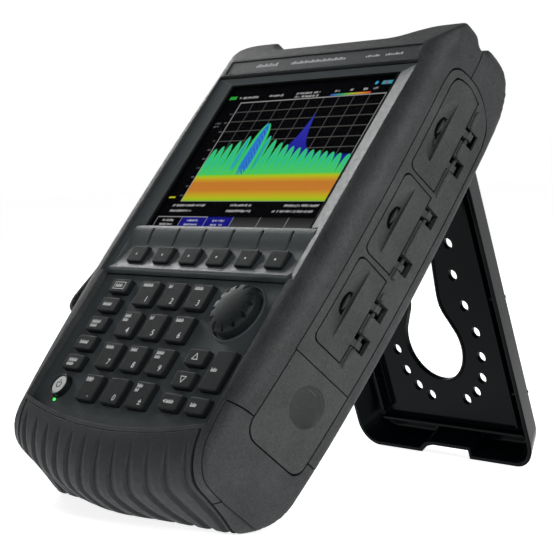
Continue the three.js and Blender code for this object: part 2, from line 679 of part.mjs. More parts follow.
place("front_housing", "case", frontHousing());
place("rear_housing", "case", rearHousing());
place("bottom_bumper", "rubber", bottomBumper());
place("corner_guard_right", "rubber", cornerGuard(1));
place("corner_guard_left", "rubber", cornerGuard(-1));
place("side_panel_right", "panel", rightPanel());
place("side_panel_left", "panel", leftPanel());
place("display_bezel", "bezel", displayBezel());
place("display_window", "glass", box([-70, 70], [4.3, 5.3], [143.5, 248.8]));
place("lcd_panel", "display", box([-70, 70], [5.6, 8.8], [143.5, 248.8]));
place("nameplate", "bezel", box([-76.7, 76.7], [0.5, 1.2], [253, 262.1]));
place("keypad_panel", "keypad", keypadPanel());
place("main_board", "board", box([-80, 80], [10.2, 11.8], [36, 262]));
place("rf_module", "shield", box([-62, 62], [13, 47], [150, 256]));
place("battery_pack", "battery", box([16, 80.5], [18, 48], [43, 79.5]));
place("port_plate", "steel", box([-44.7, 44.7], [14.3, 48.7], [270.3, 272]));
place("rf_port_left", "steel", rfPort(-24));
place("rf_port_right", "steel", rfPort(24));
place("power_lamp", "lamp", barY(LAMP.x, LAMP.z, 0.85, [3.6, 5.9], 12));
place("encoder_shaft", "steel", barY(KNOB.x, KNOB.z, 3, [-0.9, 9.9], 20));
place("stand_pin", "steel", barX(PIVOT.y, PIVOT.z, 2.5, [-56.5, 56.5]));
place("hand_strap", "webbing", handStrap());
place("strap_anchor_upper", "steel", strapAnchor(222));
place("strap_anchor_lower", "steel", strapAnchor(82));
place("kickstand", "stand", kickstand());
DOORS.forEach((spec) => place(spec.name, "panel", door(spec)));
place("battery_door", "panel", batteryDoor());
place("power_button", "button", powerButton());
place("tuning_knob", "knob", knob());
SOFTKEYS.forEach((key) => place(key.name, "key", keyBody(key, 4)));
PAD_KEYS.forEach((key) => place(key.name, "key", keyBody(key)));

instrument.rotation.x = -THREE.MathUtils.degToRad(LEAN_DEG);

// The origin is under the middle of the instrument, on the ground it stands on.
const group = new THREE.Group();
group.name = "handheld_analyser";
group.add(instrument);
group.updateMatrixWorld(true);
const bounds = new THREE.Box3().setFromObject(instrument, true);
instrument.position.set(
  -(bounds.min.x + bounds.max.x) / 2,
  -(bounds.min.y + bounds.max.y) / 2,
  -bounds.min.z,
);

export default group;
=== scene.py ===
"""A handheld microwave analyser that leans back on its open kickstand.

Pieces are drawn in the instrument's own upright axes, in millimetres: X to the right of the screen,
Y from the front face to the back, Z up the face. TO_WORLD then stands them on the ground, in metres.
"""
import json
import math

import bmesh
import bpy
import numpy as np
from mathutils import Matrix, Vector


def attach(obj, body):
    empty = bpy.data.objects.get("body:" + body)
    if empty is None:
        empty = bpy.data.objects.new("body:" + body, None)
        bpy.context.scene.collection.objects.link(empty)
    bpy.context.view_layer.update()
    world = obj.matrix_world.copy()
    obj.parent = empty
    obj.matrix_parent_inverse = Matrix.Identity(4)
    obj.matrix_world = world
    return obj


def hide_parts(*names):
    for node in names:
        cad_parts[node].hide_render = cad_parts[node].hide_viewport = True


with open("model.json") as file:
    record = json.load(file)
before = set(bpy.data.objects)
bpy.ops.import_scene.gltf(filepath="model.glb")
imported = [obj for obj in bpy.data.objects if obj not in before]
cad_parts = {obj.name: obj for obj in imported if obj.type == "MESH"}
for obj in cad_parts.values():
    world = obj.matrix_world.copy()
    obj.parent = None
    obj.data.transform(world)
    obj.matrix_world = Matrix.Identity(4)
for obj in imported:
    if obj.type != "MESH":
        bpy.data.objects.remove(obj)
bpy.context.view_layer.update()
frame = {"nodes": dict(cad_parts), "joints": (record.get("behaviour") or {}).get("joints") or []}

JOINTS = {joint["name"]: joint for joint in frame["joints"]}
NODES = frame["nodes"]

# Overall sizes
DEPTH = 62.8
BACK_TAPER = 0.0135
SPLIT_Y = 27.1
SEAM = 0.75
HEEL = (24, 30)
HEEL_R = 38.4
BASE_Z = HEEL[1] - HEEL_R
CROWN = 15
LIP_RISE = 9.2
FRONT_EDGE = 13
TOP_EDGE = 8
TOP_Z = 273.8

# Front face
SCREEN_HALF = 67.3
SCREEN_Z = (146.7, 246.5)
BEZEL_HALF = 80.1
BEZEL_Y = 1.4
LEDGE = {"half": 68.9, "y": 2.9, "top": 246.6}
BEZEL_Z = (114.5, 250.6)
KEY_FLOOR = 4
KEY_TOP = 1.0
BUMPER_HALF = 73.7
GUARD_X = 81
GUARD_TOP = 46
RIB_PITCH = 12.5

# Right-hand side, in (depth, height)
PANEL_X = 85.8
PANEL_Y = (13.2, 54)
PANEL_Z = (84.4, 260.5)
DOOR_Y = (18.3, 38.9)
HINGE_Y = 44.5
WINDOW_HALF = 4.4
DOORS = (
    {"name": "upper", "z": (197.3, 256.4), "windows": (216.9, 235.2), "scoop": 227.5, "hinge": 90.1},
    {"name": "middle", "z": (146.3, 193.6), "windows": (155, 184.5), "scoop": 171, "hinge": 91.6},
    {"name": "lower", "z": (94.3, 142.4), "windows": (108.6, 127.6), "scoop": 119.5, "hinge": 91.4},
)

# Kickstand, along the leg from its pivot and outwards from the pivot's plane
PIVOT = (62, 249.6)
STAND_OPEN = math.radians(57.2)
STAND_LENGTH = 189.95
STAND_OUTER = 9
STAND_SKIN = 6.5
STAND_RIM = -7.7
STAND_HALF = (62, 70)
KEYHOLE = {"x": -1.4, "along": 124.8, "r": 22.3, "neck": 12.4, "top": 46}
SMALL_HOLES = (
    (14.2, 158.5), (23.4, 153), (30.4, 143.8), (33.9, 130.5),
    (34.2, 115.3), (30.1, 99.3), (27.1, 80.8), (29.4, 61.7),
)

# Single features, across and up; the dimple is in depth and height
KNOB = (50.3, 95.1)
POWER = (-55.4, 41.8)
LAMP_AT = (-56.1, 34)
DIMPLE_AT = (36.2, 66)
PORT = {"x": 24, "y": 31.5, "z": 272.3, "sides": 56}

# The side of the sky that is white, and how bright the opposite side is
BACKDROP = (-0.76, 0.65, 0)
SKY_DIM = 0.45

# The upright axes in the world, read from the joints that lie along them
DEEP = Vector(JOINTS["power_press"]["axis"])
UP = Vector(JOINTS["upper_door_hinge"]["axis"])
ORIGIN = Vector(JOINTS["stand_hinge"]["pos_m"]) - (DEEP * PIVOT[0] + UP * PIVOT[1]) * 0.001
TO_WORLD = Matrix.Translation(ORIGIN) @ Matrix(
    ((1, DEEP.x, UP.x), (0, DEEP.y, UP.y), (0, DEEP.z, UP.z))
).to_4x4() @ Matrix.Scale(0.001, 4)


# ---------- shader nodes ----------

def feed(tree, node, inputs):
    """Sets a node's inputs: another node's output is linked, a number or a colour is set."""
    for name, value in inputs.items():
        if isinstance(value, bpy.types.NodeSocket):
            tree.links.new(value, node.inputs[name])
        else:
            node.inputs[name].default_value = value


def add_node(tree, kind, inputs, operation=None):
    """Adds a shader node and sets its inputs."""
    node = tree.nodes.new(f"ShaderNode{kind}")
    if operation:
        node.operation = operation
    feed(tree, node, inputs)
    return node


def add_mix(tree, inputs, blend_type="MIX"):
    """Adds a node that mixes two colours."""
    node = tree.nodes.new("ShaderNodeMix")
    node.data_type = "RGBA"
    node.blend_type = blend_type
    feed(tree, node, inputs)
    return node.outputs["Result"]


def remapped(tree, value, from_range, to_range):
    """A value carried from one range to another."""
    ranges = zip(("From Min", "From Max", "To Min", "To Max"), (*from_range, *to_range))
    return add_node(tree, "MapRange", {**dict(ranges), "Value": value}).outputs["Result"]


# ---------- camera, light and floor ----------

def add_camera():
    """A long lens from the lower right, turned a little about its own axis."""
    right = Vector((0.64647, 0.60430, 0.46572))
    down = Vector((0.034358, 0.586749, -0.809039))
    ahead = Vector((-0.762165, 0.539021, 0.358553))
    turn = TO_WORLD.to_3x3() * 1000
    columns = [turn @ right, turn @ -down, turn @ -ahead]
    camera = bpy.data.objects.new("camera", bpy.data.cameras.new("camera"))
    camera.data.sensor_width = 36
    camera.data.lens = 108.66
    camera.data.clip_start = 0.05
    camera.data.clip_end = 60
    rotation = Matrix([[column[row] for column in columns] for row in range(3)])
    place = TO_WORLD @ Vector((679.05, -432.24, -172.07))
    camera.matrix_world = Matrix.Translation(place) @ rotation.to_4x4()
    bpy.context.scene.collection.objects.link(camera)
    bpy.context.scene.camera = camera


def add_area(name, place, target, size, power):
    """A square soft light that faces a point."""
    light = bpy.data.objects.new(name, bpy.data.lights.new(name, "AREA"))
    light.data.size = size
    light.data.energy = power
    light.location = place
    light.rotation_euler = (Vector(target) - Vector(place)).to_track_quat("-Z", "Y").to_euler()
    bpy.context.scene.collection.objects.link(light)


def add_sky():
    """A backdrop that is white low down behind the instrument, and dimmer overhead and in front."""
    world = bpy.data.worlds.new("studio")
    world.use_nodes = True
    tree = world.node_tree
    sky = tree.nodes["Background"]
    heading = add_node(tree, "TexCoord", {}).outputs["Generated"]
    height = add_node(tree, "SeparateXYZ", {"Vector": heading}).outputs["Z"]
    behind = add_node(tree, "VectorMath", {0: heading, 1: BACKDROP}, "DOT_PRODUCT").outputs["Value"]
    low_down = remapped(tree, height, (0.16, 0.5), (1.0, 0.16))
    away = remapped(tree, behind, (0.1, 0.8), (SKY_DIM, 1.0))
    strength = add_node(tree, "Math", {0: low_down, 1: away}, "MULTIPLY").outputs[0]
    feed(tree, sky, {"Color": (1, 1, 1, 1), "Strength": strength})
    bpy.context.scene.world = world


def add_studio():
    """The backdrop, two large soft lights and a pale floor."""
    bpy.context.scene.view_settings.view_transform = "Standard"
    bpy.context.scene.view_settings.look = "None"
    add_sky()
    add_area("key_light", (-1.75, 0.42, 1.02), (0, 0, 0.12), 0.8, 16)
    add_area("side_light", (1.5, -0.2, 1.1), (0.05, 0, 0.15), 0.9, 24)
    reach = 9
    corners = [(-reach, -reach, 0), (reach, -reach, 0), (reach, reach, 0), (-reach, reach, 0)]
    floor = new_object("floor", corners, [(0, 1, 2, 3)])
    floor.data.materials.append(floor_material())


# ---------- outlines ----------

def spline(a, b, c, d, t):
    """The place at t between b and c on a smooth curve through a, b, c and d."""
    slope = (c - a) / 2
    bend = (2 * a - 5 * b + 4 * c - d) / 2
    twist = 3 * b - a - 3 * c + d
    return b + t * (slope + t * (bend + t * twist / 2))


def smooth_curve(points, count):
    """A smooth curve through the points, as count + 1 points."""
    last = len(points) - 1
    curve = []
    for step in range(count + 1):
        at = last * step / count
        i = min(int(at), last - 1)
        t = at - i
        p0, p1 = points[max(i - 1, 0)], points[i]
        p2, p3 = points[i + 1], points[min(i + 2, last)]
        curve.append(tuple(spline(*places, t) for places in zip(p0, p1, p2, p3)))
    return curve


def arc(centre, radii, start, end, count):
    """Points along an arc, in degrees."""
    turns = [math.radians(start + (end - start) * i / count) for i in range(count + 1)]
    return [(centre[0] + radii[0] * math.cos(t), centre[1] + radii[1] * math.sin(t)) for t in turns]


def rounded_rect(cx, cz, w, h, r, count=4):
    """A rectangle with round corners."""
    corners = ((1, -1, -90), (1, 1, 0), (-1, 1, 90), (-1, -1, 180))
    outline = []
    for sx, sz, start in corners:
        centre = (cx + sx * (w / 2 - r), cz + sz * (h / 2 - r))
        outline += arc(centre, (r, r), start, start + 90, count)
    return outline


def offset(points, amount):
    """A closed outline moved outwards, corner by corner."""
    moved = []
    for i, (a, b) in enumerate(points):
        pa, pb = points[i - 1]
        na, nb = points[(i + 1) % len(points)]
        before = Vector((b - pb, pa - a)).normalized()
        after = Vector((nb - b, a - na)).normalized()
        reach = (before + after) * (amount / max(1 + before.dot(after), 0.5))
        moved.append((a + reach.x, b + reach.y))
    return moved


def mirrored(half):
    """A closed outline from its right half, bottom to top."""
    return half + [(-a, b) for a, b in reversed(half) if a > 0]


# ---------- solids ----------

def new_object(name, verts, faces):
    """An object with a mesh of its own, in the scene."""
    mesh = bpy.data.meshes.new(name)
    mesh.from_pydata(verts, [], faces)
    mesh.update()
    obj = bpy.data.objects.new(name, mesh)
    bpy.context.scene.collection.objects.link(obj)
    return obj


def face_out(obj):
    """Turns every face of a closed mesh outwards."""
    work = bmesh.new()
    work.from_mesh(obj.data)
    bmesh.ops.recalc_face_normals(work, faces=work.faces)
    work.to_mesh(obj.data)
    work.free()
    return obj


def loft(rings):
    """A closed solid through rings of points, capped at both ends."""
    count = len(rings[0])
    faces = [
        (start + i, start + (i + 1) % count, start + count + (i + 1) % count, start + count + i)
        for start in range(0, (len(rings) - 1) * count, count)
        for i in range(count)
    ]
    faces.append(tuple(range(count)))
    faces.append(tuple(range((len(rings) - 1) * count, len(rings) * count)))
    return face_out(new_object("work", [p for ring in rings for p in ring], faces))


def face_prism(points, y0, y1, front=0.0, back=0.0, steps=6, inset=0.0):
    """An (x, z) outline carried from y0 to y1, with its front and back edges rounded."""
    levels = [
        (end + turn * radius * (1 - math.cos(t)), radius * (1 - math.sin(t)))
        for end, turn, radius in ((y0, 1, front), (y1, -1, back))
        for t in quarter(radius, steps)[::turn]
    ]
    return loft([[(x, y, z) for x, z in offset(points, -inset - pull)] for y, pull in levels])


def quarter(radius, steps):
    """The turns of a quarter circle, or only its end where there is no radius."""
    return [math.pi / 2 * i / steps for i in range(steps + 1)] if radius else [math.pi / 2]


def side_prism(points, x0, x1, steps=1, lift=lambda x, y, z: 0):
    """A (y, z) outline carried along X; lift raises each point."""
    xs = [x0 + (x1 - x0) * i / steps for i in range(steps + 1)]
    return loft([[(x, y, z + lift(x, y, z)) for y, z in points] for x in xs])


def block(xs, ys, zs, bevel=0.0):
    """A block with its four depthwise edges square and its front edge rounded by bevel."""
    corners = [(xs[0], zs[0]), (xs[1], zs[0]), (xs[1], zs[1]), (xs[0], zs[1])]
    return face_prism(corners, ys[0], ys[1], bevel, 0, 3)


def circle(centre, r, count):
    """A circle as count points."""
    return arc(centre, (r, r), 0, 360 - 360 / count, count - 1)


def bar_y(x, z, r, ys, count=40):
    """A round bar along Y."""
    return face_prism(circle((x, z), r, count), *ys)


def bar_x(y, z, r, xs, count=40):
    """A round bar along X."""
    return side_prism(circle((y, z), r, count), *xs)


def bar_z(x, y, r, zs, count=28):
    """A round bar along Z."""
    return loft([[(a, b, z) for a, b in circle((x, y), r, count)] for z in zs])


def turned(profile, x, z, count=64):
    """A profile of (radius, y) points turned about a line along Y."""
    turns = [2 * math.pi * i / count for i in range(count)]
    return loft([[(x + r * math.cos(t), y, z + r * math.sin(t)) for t in turns] for r, y in profile])


def ellipsoid(centre, radii, count=48):
    """A stretched ball, as a cutter or a rounded tab."""
    rings = []
    for step in range(1, count // 2):
        t = math.pi * step / (count // 2)
        rings.append([
            (centre[0] + radii[0] * math.sin(t) * math.cos(2 * math.pi * i / count),
             centre[1] + radii[1] * math.sin(t) * math.sin(2 * math.pi * i / count),
             centre[2] + radii[2] * math.cos(t))
            for i in range(count)
        ])
    return loft(rings)


def discard(*objects):
    """Takes objects out of the file, with the meshes that only they use."""
    for obj in objects:
        mesh = obj.data
        bpy.data.objects.remove(obj)
        if mesh.users == 0:
            bpy.data.meshes.remove(mesh)


def copy(obj):
    """A second object with a mesh of its own."""
    twin = obj.copy()
    twin.data = obj.data.copy()
    bpy.context.scene.collection.objects.link(twin)
    return twin


def bake(obj):
    """Applies an object's modifiers to its mesh."""
    seen = obj.evaluated_get(bpy.context.evaluated_depsgraph_get())
    baked = bpy.data.meshes.new_from_object(seen)
    old = obj.data
    obj.modifiers.clear()
    obj.data = baked
    bpy.data.meshes.remove(old)
    return obj


def combine(body, others, operation):
    """Joins, cuts or crops a body with other solids, which are used up."""
    for other in others:
        modifier = body.modifiers.new("combine", "BOOLEAN")
        modifier.operation = operation
        modifier.solver = "MANIFOLD"
        modifier.object = other
    bake(body)
    discard(*others)
    return body


def cut(body, *others):
    """The body less the others."""
    return combine(body, others, "DIFFERENCE")


def join(body, *others):
    """The body and the others as one solid."""
    return combine(body, others, "UNION")


def crop(body, *others):
    """What the body and the others share."""
    return combine(body, others, "INTERSECT")


def shrunk(body, depth):
    """A copy of a smooth body whose surface lies deeper by a depth."""
    twin = copy(body)
    mesh = twin.data
    spots = np.empty(len(mesh.vertices) * 3)
    normals = np.empty(len(mesh.vertices) * 3)
    mesh.vertices.foreach_get("co", spots)
    mesh.vertex_normals.foreach_get("vector", normals)
    mesh.vertices.foreach_set("co", spots - depth * normals)
    mesh.update()
    return twin


def shell(thickness, region):
    """The case's outer skin within a region."""
    return cut(crop(copy(CASE), region), shrunk(CASE, thickness))


def recess(thickness, region):
    """A cutter for a region of the case, down to a depth."""
    return cut(region, shrunk(CASE, thickness))


# ---------- finished pieces ----------

def merge_slivers(mesh):
    """Closes up the tiny edges that cuts leave behind."""
    work = bmesh.new()
    work.from_mesh(mesh)
    bmesh.ops.remove_doubles(work, verts=work.verts, dist=0.03)
    bmesh.ops.dissolve_degenerate(work, edges=work.edges, dist=0.02)
    work.to_mesh(mesh)
    work.free()


def finish(obj, name, material, body="case", replaces=(), sharp=34):
    """Names a piece, stands it on the ground, shades it and lets it ride on its body."""
    merge_slivers(obj.data)
    obj.name = name
    obj.data.name = name
    obj.data.transform(TO_WORLD)
    obj.data.shade_smooth()
    obj.data.set_sharp_from_angle(angle=math.radians(sharp))
    even = obj.modifiers.new("even_shading", "WEIGHTED_NORMAL")
    even.keep_sharp = True
    if not any(obj.data.materials):
        obj.data.materials.clear()
        obj.data.materials.append(material)
    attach(obj, body)
    if replaces:
        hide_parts(*replaces)
    return obj


def dress(obj, material, extras):
    """Adds parts of other materials to a piece's mesh: extras are (object, material) pairs."""
    obj.data.materials.clear()
    obj.data.materials.append(material)
    work = bmesh.new()
    work.from_mesh(obj.data)
    for part, finish_of_part in extras:
        obj.data.materials.append(finish_of_part)
        index = len(obj.data.materials) - 1
        known = len(work.faces)
        work.from_mesh(part.data)
        work.faces.ensure_lookup_table()
        for face in work.faces[known:]:
            face.material_index = index
    work.to_mesh(obj.data)
    work.free()
    discard(*[part for part, _ in extras])
    return obj


# ---------- materials ----------

def srgb(code):
    """A linear colour from a six-digit code."""
    parts = [int(code[i:i + 2], 16) / 255 for i in (0, 2, 4)]
    return tuple(p / 12.92 if p <= 0.04045 else ((p + 0.055) / 1.055) ** 2.4 for p in parts) + (1,)


def blank_material(name):
    """A new material with its node tree and shader."""
    material = bpy.data.materials.new(name)
    material.use_nodes = True
    tree = material.node_tree
    return material, tree, tree.nodes["Principled BSDF"]


def noise(tree, scale, detail=2.0, roughness=0.5):
    """A noise that keeps its place on the piece."""
    place = add_node(tree, "TexCoord", {}).outputs["Object"]
    inputs = {"Scale": scale, "Detail": detail, "Roughness": roughness, "Vector": place}
    return add_node(tree, "TexNoise", inputs).outputs["Fac"]


def spread(tree, value, low, high):
    """The middle of a noise's range carried to another range."""
    return remapped(tree, value, (0.3, 0.7), (low, high))


def mixed(tree, factor, first, second):
    """Two colours mixed by a factor."""
    return add_mix(tree, {"A": first, "B": second, "Factor": factor})


def tinted(colour, gain):
    """A colour made darker or lighter."""
    return tuple(min(1, c * gain) for c in colour[:3]) + (1,)


def moulded(name, code, rough=0.6, grain=0.35, grain_size=2600, edge=0.0004, sheen=0.5, speckle=0.2):
    """Moulded plastic or rubber: fine grain, faint mottling, soft edges that catch the light."""
    material, tree, shader = blank_material(name)
    colour = srgb(code)
    patches = spread(tree, noise(tree, 55, 4, 0.6), 0, 0.45)
    grains = spread(tree, noise(tree, grain_size * 0.5, 1), 0, 0.55)
    blend = add_node(tree, "Math", {0: patches, 1: grains}, "ADD").outputs[0]
    bump_inputs = {"Strength": grain, "Distance": 0.00012, "Height": noise(tree, grain_size, 2, 0.6)}
    if edge:
        bevel = add_node(tree, "Bevel", {"Radius": edge})
        bevel.samples = 4
        bump_inputs["Normal"] = bevel.outputs["Normal"]
    feed(tree, shader, {
        "Base Color": mixed(tree, blend, tinted(colour, 1 - speckle), tinted(colour, 1 + speckle)),
        "Roughness": spread(tree, noise(tree, 420, 3), rough - 0.07, rough + 0.07),
        "Specular IOR Level": sheen,
        "Normal": add_node(tree, "Bump", bump_inputs).outputs["Normal"],
    })
    return material


def metal(name, code, rough=0.3):
    """Plated metal with faint turning marks."""
    material, tree, shader = blank_material(name)
    feed(tree, shader, {
        "Metallic": 1,
        "Base Color": mixed(tree, noise(tree, 260, 3), tinted(srgb(code), 0.85), srgb(code)),
        "Roughness": spread(tree, noise(tree, 900, 2), rough - 0.08, rough + 0.1),
    })
    return material


def ink(name, code, glow=0.0):
    """Printed marks, a touch uneven; a lit one glows."""
    material, tree, shader = blank_material(name)
    colour = mixed(tree, noise(tree, 1500, 2), tinted(srgb(code), 0.82), srgb(code))
    feed(tree, shader, {"Base Color": colour, "Roughness": 0.55})
    if glow:
        feed(tree, shader, {"Emission Color": colour, "Emission Strength": glow})
    return material


def screen_light():
    """The lit picture, from the colours painted on its mesh, with the panel's faint pixel rows."""
    material, tree, shader = blank_material("lit_picture")
    tint = tree.nodes.new("ShaderNodeVertexColor")
    tint.layer_name = "tint"
    rows = {"B": (0.9, 0.9, 0.9, 1), "Factor": noise(tree, 3000, 0), "A": tint.outputs["Color"]}
    feed(tree, shader, {
        "Emission Color": add_mix(tree, rows, "MULTIPLY"),
        "Emission Strength": 1.0,
        "Base Color": (0.003, 0.003, 0.004, 1),
        "Roughness": 0.4,
        "Specular IOR Level": 0,
    })
    return material


def clear_glass():
    """The clear window, with a trace of wiping marks."""
    material, tree, shader = blank_material("clear_window")
    feed(tree, shader, {
        "Base Color": (0.01, 0.011, 0.012, 1),
        "Alpha": 0.03,
        "Specular IOR Level": 0.2,
        "Roughness": spread(tree, noise(tree, 35, 4), 0.03, 0.07),
    })
    return material


def woven():
    """Woven webbing: small crossing ribs."""
    material, tree, shader = blank_material("black_webbing")
    place = add_node(tree, "TexCoord", {}).outputs["Object"]
    heights = []
    for direction in ("X", "Z"):
        wave = add_node(tree, "TexWave", {"Scale": 420, "Distortion": 1.2, "Vector": place})
        wave.wave_type = "BANDS"
        wave.bands_direction = direction
        heights.append(wave.outputs["Fac"])
    weave = add_node(tree, "Math", {0: heights[0], 1: heights[1]}, "MULTIPLY").outputs[0]
    bump = add_node(tree, "Bump", {"Strength": 0.8, "Distance": 0.0004, "Height": weave})
    feed(tree, shader, {
        "Base Color": mixed(tree, weave, srgb("0c0c0d"), srgb("26272a")),
        "Normal": bump.outputs["Normal"],
        "Roughness": 0.9,
        "Sheen Weight": 0.2,
    })
    return material


def floor_material():
    """A matt white floor with barely visible unevenness."""
    material, tree, shader = blank_material("pale_floor")
    feed(tree, shader, {
        "Base Color": mixed(tree, noise(tree, 3, 2), (0.93, 0.93, 0.93, 1), (0.96, 0.96, 0.96, 1)),
        "Roughness": 0.8,
        "Specular IOR Level": 0.15,
        "Emission Color": (1, 1, 1, 1),
        "Emission Strength": 0.82,
    })
    return material


CASE_SKIN = moulded("case_overmould", "2b2d2e", 0.58, 0.8, 2200, sheen=0.3, speckle=0.5)
RUBBER = moulded("bumper_rubber", "25282a", 0.6, 0.6, 2400, 0.0006, 0.3, 0.3)
PANEL = moulded("grained_panel", "303231", 0.56, 0.8, 2200, 0.0005, 0.3, 0.5)
BEZEL = moulded("satin_bezel", "343a3c", 0.38, 0.12, 3400, sheen=0.45, speckle=0.12)
PLATE = moulded("nameplate", "202426", 0.42, 0.15, 3400, sheen=0.2, speckle=0.12)
KEYPAD = moulded("keypad_plate", "343a3c", 0.5, 0.2, 3400, sheen=0.3, speckle=0.15)
KEY = moulded("keycap", "0f1214", 0.48, 0.15, 3800, 0.00025, 0.13, 0.15)
KNOB_SKIN = moulded("knob_plastic", "191d1e", 0.45, 0.1, 3800, 0.0004, 0.12, 0.1)
# Black for the screen's border, and for the black sheets that paint the shade in the seams, the latch
# slots and the hinge windows
GASKET_AND_SHADE = moulded("black_gasket_and_shade", "040505", 0.6, 0.2, 3000, 0, 0.05, 0.1)
BUTTON_RING = moulded("button_ring", "101213", 0.35, 0.15, 3800, sheen=0.2)
BUTTON_DISC = moulded("pale_disc", "c4c7c5", 0.4, 0.1, 3800, speckle=0.03)
# The dimple's floor is coloured darker than the door around it
DIMPLE = moulded("darker_dimple", "262827", 0.55, 0.3, 2200, 0, 0.25, 0.3)
GLOSS = moulded("glossy_black", "04080a", 0.14, 0.05, 1200, 0.0006, 0.05, 0.1)
WEBBING = woven()
STEEL = metal("plated_steel", "a8abad", 0.3)
BRASS = metal("plated_contact", "c9a75a", 0.28)
SHIELD = metal("screening_can", "b4b7ba", 0.36)
BOARD = moulded("circuit_board", "1f4a30", 0.5, 0.3, 900)
CELL = moulded("battery_case", "26282b", 0.55)
WHITE_INK = ink("white_print", "d9dcdb")
DARK_INK = ink("dark_print", "1b1c1d")
PLATE_INK = ink("plate_print", "a9adae")
THREAD = ink("stitch_thread", "3a3b3d")
LAMP = ink("lit_lamp", "3fe04f", 1.6)


# ---------- the case as a whole ----------

FLANK = (
    (0, -8.6), (30, -8), (54, -6), (70, -1.6), (80.2, 6.4), (85.6, 19.6), (88.4, 37), (90.6, 56),
    (92.6, 82), (94.3, 116), (94.6, 155), (94.2, 190), (92.8, 225), (91.2, 252), (90.6, 264),
)
HORN = (
    (90, 273.6), (87.8, 282.2), (82.4, 287.8), (75, 289.2),
    (66, 287), (58, 280.6), (50, 275.4), (42, TOP_Z),
)
HORN_SIDE = (
    (59.2, 252), (57.8, 260), (55.6, 268), (52.6, 275.8), (48.2, 282.4), (42.4, 286.8),
    (36, 287.6), (32.5, 285), (30.6, 280.4), (24.2, 280.4), (22.8, 285.8), (19.5, 289.4),
    (15.5, 289.2), (9.5, 283), (4, 273.6), (0, 264.5),
)


def flank_x(z):
    """How far the case reaches to the right at a height."""
    curve = [(b, a) for a, b in smooth_curve(FLANK, 60)]
    return float(np.interp(z, [b for b, _ in curve], [a for _, a in curve]))


def lip_z(x):
    """The height of the bumper's curved upper edge."""
    return 20.3 + LIP_RISE * (x / BUMPER_HALF) ** 2


def crown(x, y, z):
    """How much the bottom of the case lifts towards its sides: most at the toe, hardly at the heel."""
    upwards = min(max((90 - z) / 60, 0), 1)
    backwards = min(max(1 - (y / 48) ** 4, 0.05), 1)
    return CROWN * abs(x / BUMPER_HALF) ** 1.65 * upwards * backwards


def case_body():
    """The whole case as one smooth solid."""
    flank = smooth_curve(FLANK, 56)
    horned = mirrored(flank + smooth_curve(HORN, 24))
    tall = mirrored(flank + [(FLANK[-1][0], 340)])
    toe = arc((18, 22), (18, 22 - BASE_Z), 180, 270, 14)
    heel = arc(HEEL, (HEEL_R, HEEL_R), -90, 0, 22)
    side = side_prism(toe + heel + smooth_curve(HORN_SIDE, 50), -100, 100, 50, crown)
    body = face_prism(horned, 0, 200, TOP_EDGE, 0, 7)
    slab = face_prism(horned, -140, DEPTH, 0, 3, 4)
    slab.data.transform(Matrix(((1, 0, 0, 0), (0, 1, -BACK_TAPER, 0), (0, 0, 1, 0), (0, 0, 0, 1))))
    crop(body, face_prism(tall, 0, 200, FRONT_EDGE, 0, 9), slab, side)
    remesh = body.modifiers.new("remesh", "REMESH")
    remesh.mode = "VOXEL"
    remesh.voxel_size = 1.25
    soften = body.modifiers.new("soften", "SMOOTH")
    soften.factor = 0.5
    soften.iterations = 8
    return bake(body)


# Nearly every outer piece is cropped from this solid
CASE = case_body()


# ---------- regions that the outer pieces share ----------

def bumper_region(wider, higher):
    """All that lies under the bumper's upper edge and between its sides."""
    half = BUMPER_HALF + wider
    lip = [(half - i * half / 16, lip_z(half - i * half / 16) + higher) for i in range(33)]
    return face_prism([(-half, -20), (half, -20)] + lip, -5, DEPTH + 5)


def guard_region(side, grow):
    """A lower corner of the case; side is 1 on the right and -1 on the left."""
    low, high = sorted((side * (GUARD_X - grow), side * 100))
    return block((low, high), (-5, DEPTH + 5), (-20, GUARD_TOP + grow))


def battery_region(grow, xs):
    """The battery door's outline, carried across."""
    y0, y1 = 13.5 - grow, 54 + grow
    z0, z1 = 37.5 - grow, 83.8 + grow
    front = arc((y0 + 9, z0 + 9), (9, 9), 180, 270, 8)
    rear = arc((y1 - 6, z0 + 6), (6, 6), 270, 360, 6)
    return side_prism([(y0, z1)] + front + rear + [(y1, z1)], *xs)


def panel_region(grow, xs):
    """A side panel's outline, carried across."""
    y0, y1 = PANEL_Y[0] - grow, PANEL_Y[1] + grow
    z0, z1 = PANEL_Z[0] - grow, PANEL_Z[1] + grow
    arch = [(y0, z1 - 15), (y0 + 1.2, z1 - 6), (y0 + 5, z1 - 1.6), (y0 + 11, z1), (33, z1 - 0.2),
            (41, z1 - 3), (48, z1 - 8.5), (y1 - 2, z1 - 15), (y1, z1 - 24)]
    return side_prism([(y0, z0)] + smooth_curve(arch, 32) + [(y1, z0)], *xs)


def door_region(door, grow, xs, rear=None):
    """A port door's outline, carried across; rear can let its hinged edge out by less."""
    y0, y1 = DOOR_Y[0] - grow, DOOR_Y[1] + (grow if rear is None else rear)
    z0, z1 = door["z"][0] - grow, door["z"][1] + grow
    foot = arc((y0 + 4, z0 + 4), (4, 4), 180, 270, 8)
    if door["name"] == "upper":
        brow = [(y1, z1 - 2.6), (y0 + 14, z1), (y0 + 8, z1), (y0 + 2, z1 - 2.2), (y0, z1 - 8)]
        top = smooth_curve(brow, 16)
    else:
        top = [(y1, z1 - 0.6)] + arc((y0 + 4, z1 - 4), (4, 4), 90, 180, 8)
    return side_prism(foot + [(y1, z0)] + top, *xs)


def window_region(z):
    """The opening round a hinge arm."""
    return block((PANEL_X - 1, 100), (DOOR_Y[1] - 1, HINGE_Y + 4.4), (z - WINDOW_HALF, z + WINDOW_HALF))


# ---------- case pieces ----------

